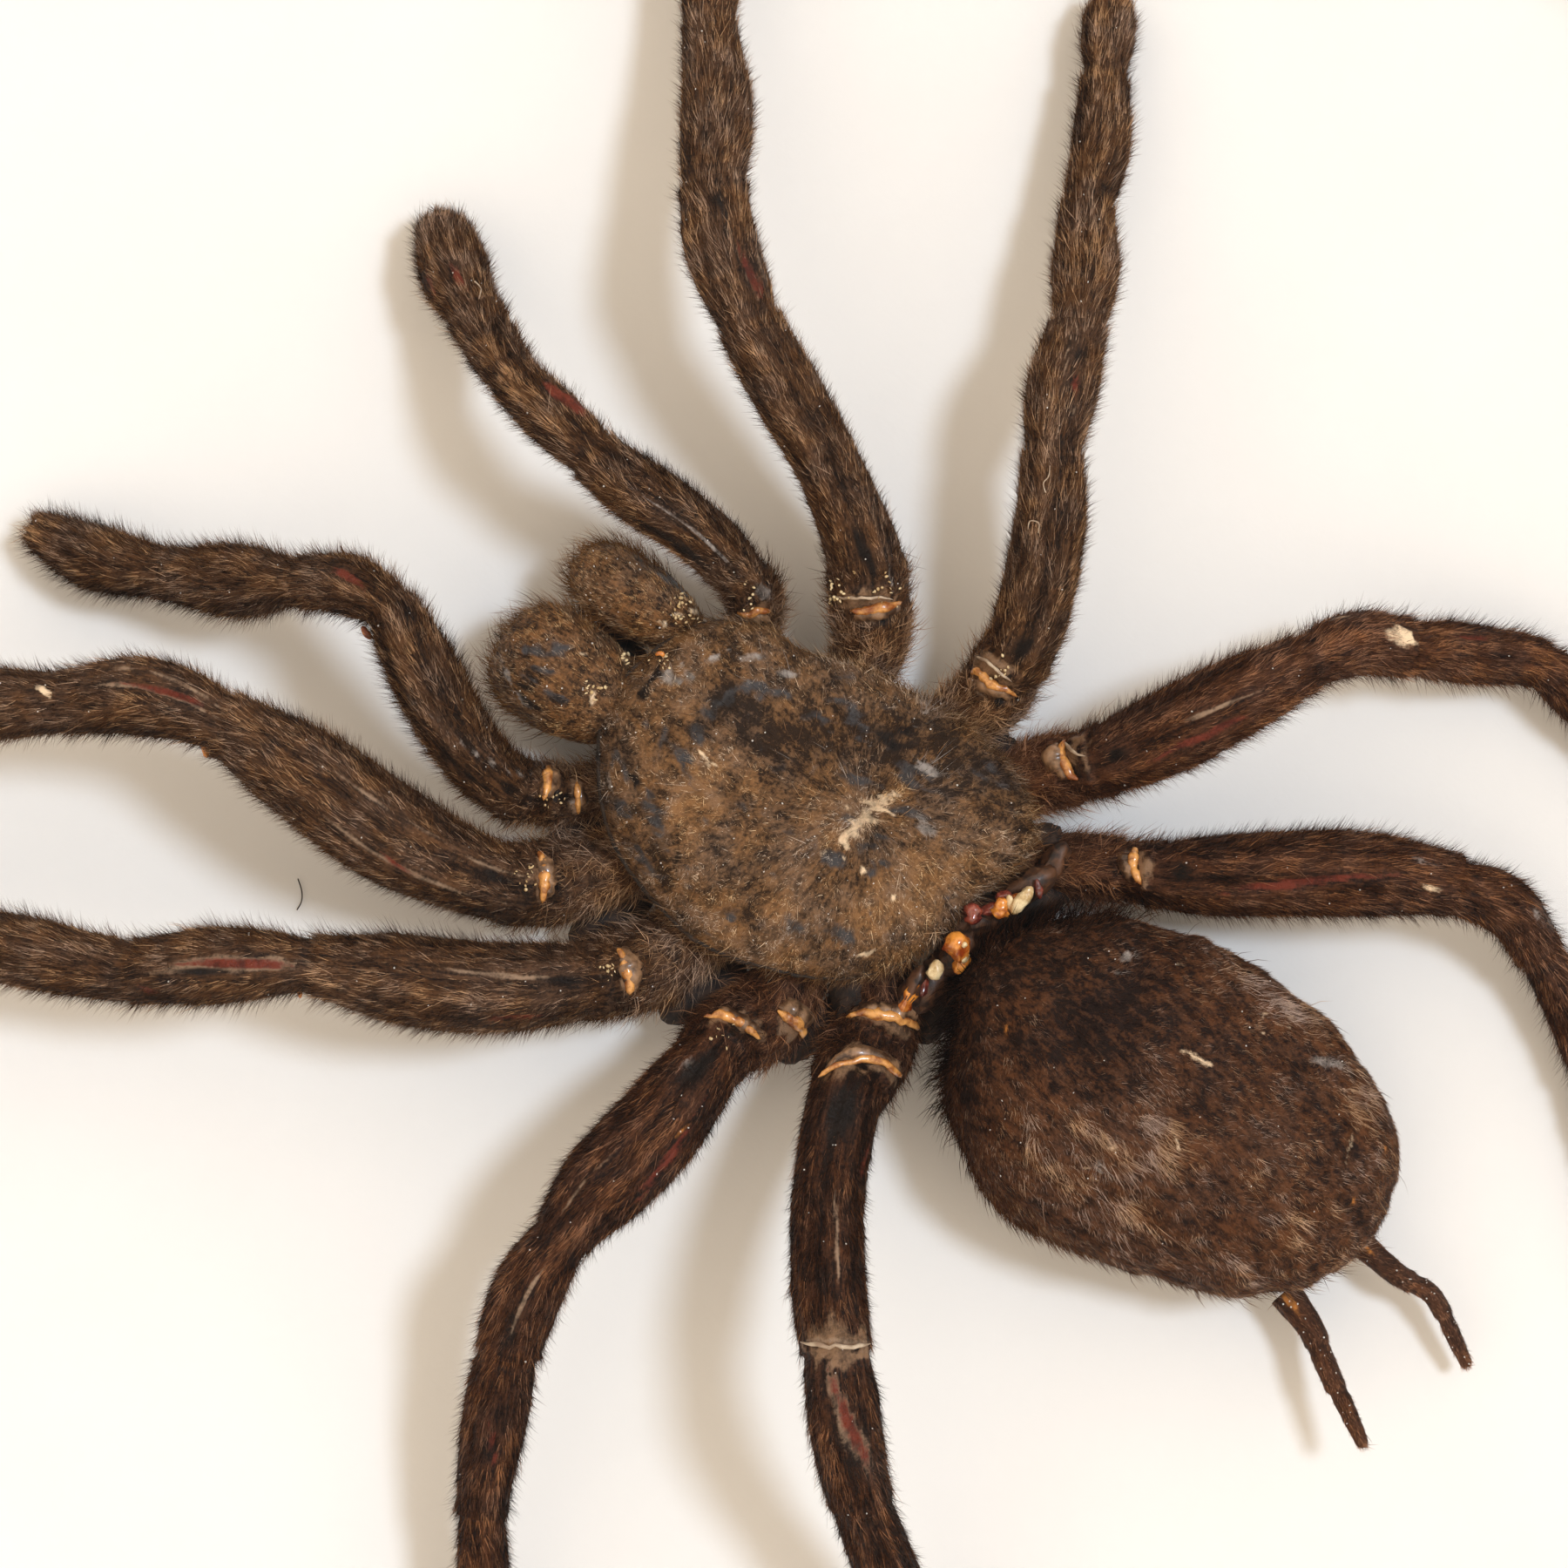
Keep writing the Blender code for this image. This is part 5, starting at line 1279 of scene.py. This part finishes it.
# Each fang base: middle, half sizes, how much longer its hidden rear half is, and turn in degrees
fangBases = {
    "chelicera_left": {
        "middle": (-2.95, 13.2, 4.2), "half": (3.05, 2.85, 3.55), "rear": 1.75, "turn": 6.0,
        "patches": {
            "slate": (
                (-2.7, 14.0, 1.0, 0.36, -60), (-4.0, 12.2, 1.2, 0.22, -85), (-3.3, 13.0, 1.0, 0.20, -65),
                (-1.9, 13.2, 0.7, 0.30, -50),
            ),
            "dark": (
                (-5.0, 12.4, 1.0, 0.18, -90), (-4.5, 13.3, 1.1, 0.14, -75), (-3.9, 11.2, 0.8, 0.12, -80),
            ),
            "frost": ((-4.7, 14.4, 0.7, 0.16, 60), (-5.1, 13.2, 0.5, 0.12, 80)),
            "pale": (
                (-2.5, 10.5, 0.5, 0.18, 30), (-0.2, 10.4, 0.3, 0.16, 0), (-1.4, 12.2, 0.4, 0.14, -60),
            ),
        },
    },
    "chelicera_right": {
        "middle": (2.50, 12.75, 3.95), "half": (1.98, 2.8, 3.3), "rear": 1.65, "turn": 6.0,
        "patches": {
            "dark": ((4.5, 10.8, 1.3, 0.24, 90), (4.2, 12.9, 0.8, 0.14, 80)),
            "slate": ((4.3, 11.6, 0.7, 0.16, 85),),
            "pale": ((3.5, 9.5, 0.9, 0.22, -30), (2.5, 9.9, 0.3, 0.14, 20)),
        },
    },
}
fangBaseForm = {
    "rings": 54, "around": 76, "squareness": 0.85,
    "hair": {
        "pelt": {
            "count": 24000, "length": (0.16, 0.46), "width": 0.040, "lift": (4, 18), "tuft": 1.4,
            "stray": 0.12, "tone": (-0.05, 1.0), "grain": 0.85,
        },
        "fringe": {
            "count": 1700, "length": (0.5, 2.0), "width": 0.027, "lift": (14, 60), "joints": 2,
            "longFew": 2.0, "tone": (0.0, 0.60), "stray": 0.30,
        },
        "strays": {
            "count": 1500, "length": (0.3, 0.7), "width": 0.030, "lift": (8, 30), "joints": 2,
            "longFew": 1.5, "tone": (0.1, 0.9),
        },
    },
}


def makeFangBase(name, form, materials, seed):
    angle = np.linspace(-math.pi / 2, math.pi / 2, fangBaseForm["rings"])[:, None]
    turn = np.linspace(0, 2 * math.pi, fangBaseForm["around"], endpoint=False)[None]
    fuller = lambda value: np.sign(value) * np.abs(value) ** fangBaseForm["squareness"]
    shape = np.stack(np.broadcast_arrays(
        fuller(np.cos(angle) * np.cos(turn)), fuller(np.cos(angle) * np.sin(turn)), fuller(np.sin(angle)),
    ), axis=-1)
    shape[0, :, :2] = shape[-1, :, :2] = 0.0
    local = shape * form["half"]
    local[..., 1] *= np.where(local[..., 1] < 0, form["rear"], 1.0)
    tilt = math.radians(form["turn"])
    spin = np.array(((math.cos(tilt), -math.sin(tilt), 0), (math.sin(tilt), math.cos(tilt), 0), (0, 0, 1)))
    points = local @ spin.T + form["middle"] + up * cardFront
    lumps = unevenness(points, (0.07, 1.6, seed), (0.03, 0.6, seed + 4))
    points += unit(shape) * lumps[..., None]
    comb = np.zeros_like(points) + spin @ (0.0, 1.0, -0.05) + unit(shape) * (0.35, 0.0, 0.0)
    skin = Skin(points, comb, points @ spin * (1.3, 0.35, 1.3))
    height = above(points)
    markPatches(skin, form["patches"], 0.85 * smoothStep(3.5, 5.0, height), soft=0.8, ragged=0.7)
    # the left side, which faces away from the sun, is painted darker as shade
    shadedLeftSide = smoothStep(0.5, 1.0, -shape[..., 0])
    skin.marks["light"] = unevenness(points, (0.16, 1.5, seed + 2)) - 0.10 * shadedLeftSide
    skin.build(f"{name}_skin", materials["fangBaseSkin"], "carapace", name)
    high = smoothStep(1.0, 3.0, height)
    outline = smoothStep(0.45, 0.9, np.hypot(shape[..., 0], shape[..., 1]))
    outline = outline * smoothStep(-0.6, 0.1, shape[..., 1]) * smoothStep(0.9, 0.3, shape[..., 2])
    weights = {
        "pelt": skin.haired(0.7) * (0.06 + 0.94 * high), "fringe": high * outline,
        "strays": high * skin.haired(),
    }
    fur = materials["fangBaseFur"]
    growHair(name, name, skin, fangBaseForm["hair"], weights, fur, seed + 3)
    return skin


# Small bare parts: raised rims, beads of dried flesh, torn and deep skin, crumbs, dust and loose hairs

# Beads: x, y, height above the card, half length, half width and turn of each
driedBeads = {
    "ruby": (
        (1.0, -11.7, 6.4, 0.60, 0.52, 40), (4.1, -13.5, 6.0, 0.5, 0.22, 50),
        (1.7, -12.3, 5.9, 0.55, 0.36, -20), (2.7, -12.4, 5.8, 0.5, 0.3, -40),
        (-11.7, -1.6, 4.7, 0.75, 0.11, 60), (-3.6, -12.2, 5.0, 0.5, 0.3, 20),
    ),
    "amber": (
        (2.1, -12.6, 6.4, 0.58, 0.46, 30), (-0.8, -12.1, 6.3, 0.78, 0.62, 60),
        (-4.4, -11.9, 5.2, 1.0, 0.34, 10), (3.1, -13.0, 6.0, 0.60, 0.3, -30),
        (-1.3, -12.9, 5.7, 0.55, 0.34, 0), (-9.3, -22.4, 3.6, 0.45, 0.30, 60),
        (1.1, 9.1, 7.6, 0.26, 0.12, -70), (-17.2, 23.8, 10.5, 0.42, 0.20, 60),
        (-23.6, 12.4, 9.5, 0.50, 0.22, 40), (-28.4, 18.0, 9.2, 0.34, 0.17, 50),
        (-7.4, 21.2, 10.6, 0.38, 0.18, 80), (21.3, -17.9, 6.8, 0.42, 0.20, -20),
        (29.3, -26.6, 3.4, 0.32, 0.16, 80), (16.9, -31.0, 5.6, 0.38, 0.18, 70),
        (-23.6, -6.9, 9.3, 0.40, 0.18, 0),
    ),
    "cream": (
        (3.1, -13.2, 6.5, 0.85, 0.36, -3), (2.6, -12.9, 6.3, 0.35, 0.24, 60),
        (-2.5, -12.0, 6.1, 0.50, 0.42, 20), (-1.0, -12.7, 6.2, 0.40, 0.30, 70),
        (-0.5, -12.3, 6.9, 0.18, 0.15, 0),
    ),
}
# The same, of the torn skin behind the carapace, whose own brown is darkened as painted shade of the gap it
# fills
shadedTornSkin = (
    (3.6, -12.9, 4.9, 2.0, 0.85, -20), (1.2, -12.2, 4.7, 1.8, 0.95, -20), (-1.0, -12.3, 4.6, 1.6, 0.95, 5),
    (-3.2, -12.3, 4.2, 1.8, 0.85, 10), (-4.8, -12.0, 4.4, 1.4, 0.60, 25), (5.6, -13.3, 4.6, 1.3, 0.60, 10),
    (0.2, -11.6, 5.4, 1.4, 0.40, 0), (-3.9, -11.7, 5.2, 1.3, 0.42, 12),
)
# and of the tissue deep between the body and the legs' first segments and between the fang bases, coloured
# almost black as painted shade in these gaps
shadedDeepSkin = (
    (-8.7, 6.4, 2.4, 2.0, 0.95, 145), (-11.0, 2.6, 2.3, 2.5, 1.1, 161), (-11.0, -3.6, 2.2, 2.6, 1.2, 162),
    (-9.0, -9.2, 2.3, 2.3, 1.0, 172), (-6.2, -9.6, 3.6, 1.6, 1.0, 30), (-3.6, -13.5, 2.6, 2.4, 1.1, 10),
    (3.4, -13.9, 2.6, 2.2, 1.1, -22), (-0.4, -13.2, 3.4, 2.2, 0.9, 0), (5.8, -13.0, 3.0, 1.8, 1.1, 50),
    (8.4, -7.8, 2.6, 1.6, 1.0, 80), (-9.0, -6.6, 2.4, 1.6, 1.0, 85), (0.3, 11.0, 2.8, 1.7, 0.55, 92),
)
# Crumbs of dried flesh: x, y, how far they spread, how many, and their size
crumbs = (
    (3.5, 9.6, 1.1, 26, 0.075), (-2.4, 10.6, 0.8, 12, 0.07), (-0.2, 10.4, 0.3, 6, 0.08),
    (0.9, 8.8, 0.6, 10, 0.06), (9.4, 4.4, 1.2, 30, 0.06), (10.8, 2.2, 0.9, 14, 0.06),
    (-12.0, 7.0, 0.7, 16, 0.06), (-8.0, 8.9, 0.6, 14, 0.06), (11.4, -4.9, 0.8, 14, 0.06),
    (-13.1, 0.9, 0.6, 12, 0.06), (6.3, 7.4, 0.6, 10, 0.06), (-11.8, -5.6, 0.6, 10, 0.055),
)
crumbForm = {"sizes": (0.4, 1.8), "near": 0.25, "lift": 0.05, "steps": 5}
# White specks on the carapace, each fang base, each limb and the abdomen
dustCounts = {"carapace": 80, "fangBase": 20, "limb": 18, "abdomen": 30}
dustForm = {"size": 0.034, "sizes": (0.6, 1.7), "lift": 0.16, "steps": 4}
# Hairs and fibres that have come loose, as spots seen from above
looseHairs = {
    "darkRim": (((-19.9, 16.5), (-20.3, 15.9), (-20.7, 15.6), (-21.2, 15.5)),),
    "paleSkin": (
        ((19.8, -0.9), (20.1, -0.5), (20.5, -0.5), (21.0, -0.2)),
        ((18.0, -1.9), (18.4, -1.6), (18.2, -1.2), (17.8, -1.4)), ((9.3, 27.8), (9.8, 28.1), (9.9, 28.6)),
    ),
}
looseForm = {"points": 12, "near": 0.4, "lift": 0.12, "thick": 0.07}


# The highest skin within reach of each place seen from above
def heightsAt(skins, places, reach):
    lowest = 1.0  # parts of the skin under this can't be the top
    tops = np.concatenate([skin.points.reshape(-1, 3) for skin in skins])
    tops = tops[above(tops) > lowest]
    heights = np.full(len(places), np.nan)
    for index, place in enumerate(places):
        near = np.hypot(tops[:, 0] - place[0], tops[:, 1] - place[1]) < reach
        if near.any():
            heights[index] = tops[near, 2].max()
    return heights


# Rods along the limbs' rims: which rims, how far towards the tip, how much wider, how high, and finish.
# Each amber rim edges a cushion of dried skin, which lies nearer to the body.
rimRods = {
    "amber": ("amber", 0.0, 1.5, 0.10, "amberRim"), "pale": ("pale", 0.0, 1.0, 0.10, "paleSkin"),
    "cushion": ("amber", -0.55, 2.9, -0.14, "driedSkin"),
}


def addRims(limbSkins, materials):
    for kind, (of, shift, wider, lift, finish) in rimRods.items():
        rods = []
        for name, rims in limbRims.items():
            for rimKind, *ends, thickness, bow in rims:
                if rimKind == of:
                    path = limbSkins[name].trace(*ends, bow, lift, shift)
                    path += unevenness(path, (0.06, 0.8, 71))[:, None]
                    path, radii = taperedRod(path, thickness * wider)
                    rods.append((path, radii * (1 + unevenness(path, (0.25, 0.6, 75)))))
        addRods(f"{kind}_rims", rods, materials[finish], sides=12, rough=0.12)


def addBeads(materials):
    for kind, finish in {"ruby": "rubyBead", "amber": "orangeBead", "cream": "creamCrumb"}.items():
        rods = [bead(*numbers) for numbers in driedBeads[kind]]
        for middle, radii in rods:
            middle += unevenness(middle, (0.10, 0.9, 72))[:, None]
            radii *= 1 + unevenness(middle, (0.16, 0.5, 73))
        addRods(f"{kind}_beads", rods, materials[finish], sides=16, rough=0.30)
    for name, finish, lumps in (
        ("pedicel_tissue", "shadedTornSkin", shadedTornSkin), ("deep_skin_in_shade", "shadedDeepSkin", shadedDeepSkin),
    ):
        addRods(name, [bead(*lump) for lump in lumps], materials[finish], sides=20, rough=0.40)


def addCrumbs(skins, material, rng):
    form, grains = crumbForm, []
    for x, y, spread, count, size in crumbs:
        places = rng.normal((x, y), spread / 2, (count, 2))
        for place, height in zip(places, heightsAt(skins, places, form["near"])):
            if not math.isnan(height):
                half = size * rng.uniform(*form["sizes"], 2)
                height += form["lift"] - cardFront
                grains.append(bead(*place, height, *half, rng.uniform(0, 180), form["steps"]))
    addRods("crumbs", grains, material, sides=5, rough=0.4)
    print(f"{len(grains)} crumbs lie on the skin")


def addDust(skinKinds, material, rng):
    form, specks = dustForm, []
    for kind, dusty in skinKinds.items():
        for skin in dusty:
            facesUp = smoothStep(0.2, 0.8, skin.normals[..., 2])
            for x, y, z in skin.scatter(dustCounts[kind], facesUp, rng)(skin.points):
                half = form["size"] * rng.uniform(*form["sizes"], 2)
                height = z - cardFront + form["lift"]
                specks.append(bead(x, y, height, *half, rng.uniform(0, 180), form["steps"]))
    addRods("dust", specks, material, sides=5)
    print(f"{len(specks)} specks of dust lie on the skin")


def addLooseHairs(skins, materials):
    form = looseForm
    for finish, hairs in looseHairs.items():
        rods = []
        for spots in hairs:
            spots = readRows(spots, np.linspace(0, len(spots) - 1, form["points"]))
            heights = np.nan_to_num(heightsAt(skins, spots, form["near"]), nan=cardFront + 0.06)
            path = np.column_stack([spots, heights + form["lift"]])
            rods.append((path, np.full(form["points"], form["thick"] / 2)))
        addRods(f"loose_{finish}", rods, materials[finish], sides=5)


# The frame, whose own solids keep their shapes

def finishFrame(materials):
    finishes = {
        "rail_top": "woodAcross", "rail_bottom": "woodAcross", "rail_left": "woodAlong",
        "rail_right": "woodAlong", "glass_pane": "glass", "backing_card": "card", "back_panel": "hardboard",
        "sawtooth_hanger": "zinc", "hanger_pin_left": "zinc", "hanger_pin_right": "zinc",
    }
    finishes.update({f"spacer_{side}": "card" for side in ("top", "bottom", "left", "right")})
    finishes.update({f"tab_{number}": "zinc" for number in range(1, 7)})
    for node, finish in finishes.items():
        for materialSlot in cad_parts[node].material_slots:
            materialSlot.material = materials[finish]


# Light and view

view = {
    "height": 325.0, "width": 81.9,  # millimetres above the card, and seen across
    "sensor": 36.0, "near": 0.01, "far": 20.0,
    "right": (0.634, -0.774, 0.0), "up": (0.774, 0.634, 0.0),
}


def addCamera():
    data = bpy.data.cameras.new("overhead_camera")
    data.sensor_width = view["sensor"]
    data.lens = view["sensor"] * view["height"] / view["width"]
    data.clip_start, data.clip_end = view["near"], view["far"]
    camera = bpy.data.objects.new("overhead_camera", data)
    turn = np.eye(4)
    turn[:3, 0], turn[:3, 1], turn[:3, 2] = unit(np.array(view["right"])), unit(np.array(view["up"])), up
    turn[2, 3] = (cardFront + view["height"]) * mm
    camera.matrix_world = Matrix(turn.tolist())
    bpy.context.scene.collection.objects.link(camera)
    bpy.context.scene.camera = camera


lighting = {
    "toSun": (0.843, -0.538), "elevation": 62.2, "softness": 11.0,
    "sunStrength": 2.02, "sunColour": (0.732, 0.828, 1.0),
    "fillStrength": 1.27, "fillColour": (1.0, 0.810, 0.655),
    "ceilingEdge": 0.955, "ceilingDark": 0.982, "ceilingColour": (0.05, 0.05, 0.05),
}


def addLight():
    data = bpy.data.lights.new("studio_key", "SUN")
    data.energy = lighting["sunStrength"]
    data.color = lighting["sunColour"]
    data.angle = math.radians(lighting["softness"])
    lamp = bpy.data.objects.new("studio_key", data)
    x, y = lighting["toSun"]
    lean = math.pi / 2 - math.radians(lighting["elevation"])
    lamp.rotation_euler = (0, lean, math.atan2(y, x))
    bpy.context.scene.collection.objects.link(lamp)
    world = bpy.data.worlds.new("studio_fill")
    sky = Graph(world, "Background", Strength=lighting["fillStrength"])
    # a dark patch of ceiling straight above, which the glass mirrors towards the lens
    height = sky.add("SeparateXYZ", inputs={0: sky.place("Generated")}, output="Z")
    ceiling = sky.band(height, lighting["ceilingEdge"], lighting["ceilingDark"])
    sky.set(Color=sky.mix(ceiling, lighting["fillColour"], lighting["ceilingColour"]))
    bpy.context.scene.world = world
    bpy.context.scene.view_settings.view_transform = "Standard"


def addFloor(material):
    half, height = 1500.0, -0.02
    corners = np.array([(x * half, y * half, height) for x, y in ((-1, -1), (1, -1), (1, 1), (-1, 1))])
    mesh = bpy.data.meshes.new("studio_floor")
    mesh.from_pydata(corners * mm, [], [(0, 1, 2, 3)])
    mesh.materials.append(material)
    floor = bpy.data.objects.new("studio_floor", mesh)
    bpy.context.scene.collection.objects.link(floor)


# Everything in its turn

materials = {name: makeSkinMaterial(name, look) for name, look in skinLooks.items()}
materials.update({name: makeFurMaterial(name, colours) for name, colours in furLooks.items()})
materials.update({name: makePlain(name, *look) for name, look in plainLooks.items()})
materials.update({
    "woodAcross": makeWood("woodAcross", 0), "woodAlong": makeWood("woodAlong", 1),
    "card": makeCard("card"), "hardboard": makeHardboard("hardboard"), "zinc": makeZinc("zinc"),
    "glass": makeGlass("glass"),
})
addCamera()
addLight()
addFloor(materials["studioFloor"])
print("view and light are set")
finishFrame(materials)
print("frame is finished")

seeds = {"carapace": 301, "abdomen": 401, "fangBases": 500, "limbs": 600, "grains": 81}
skinKinds = {"carapace": [makeCarapace(materials, seeds["carapace"])], "fangBase": [], "limb": []}
print("carapace is built")
skinKinds["abdomen"] = [makeAbdomen(materials, seeds["abdomen"])]
print("abdomen is built")
for number, (name, form) in enumerate(fangBases.items()):
    skinKinds["fangBase"].append(makeFangBase(name, form, materials, seeds["fangBases"] + 10 * number))
print("fang bases are built")

rearLimbs = (
    "leg_right_3", "leg_right_4", "leg_left_3", "leg_left_4", "spinneret_right", "spinneret_left",
)
grown = {}
for number, name in enumerate(limbs):
    limb = grown[name] = Limb(name)
    skinKinds["limb"].append(limb.skin)
    rear = name in rearLimbs
    limb.skin.build(f"{name}_skin", materials["rearLimbSkin" if rear else "limbSkin"], "limb_fur", name)
    limbHair(limb, materials["rearFur" if rear else "frontFur"], seeds["limbs"] + number)
print("limbs are built")

allSkins = [skin for kind in skinKinds.values() for skin in kind]
rng = np.random.default_rng(seeds["grains"])
addRims(grown, materials)
addBeads(materials)
addCrumbs(allSkins, materials["creamCrumb"], rng)
addDust(skinKinds, materials["dustSpeck"], rng)
addLooseHairs(allSkins, materials)
print(sum(len(mesh.loops) - 2 * len(mesh.polygons) for mesh in bpy.data.meshes), "triangles")
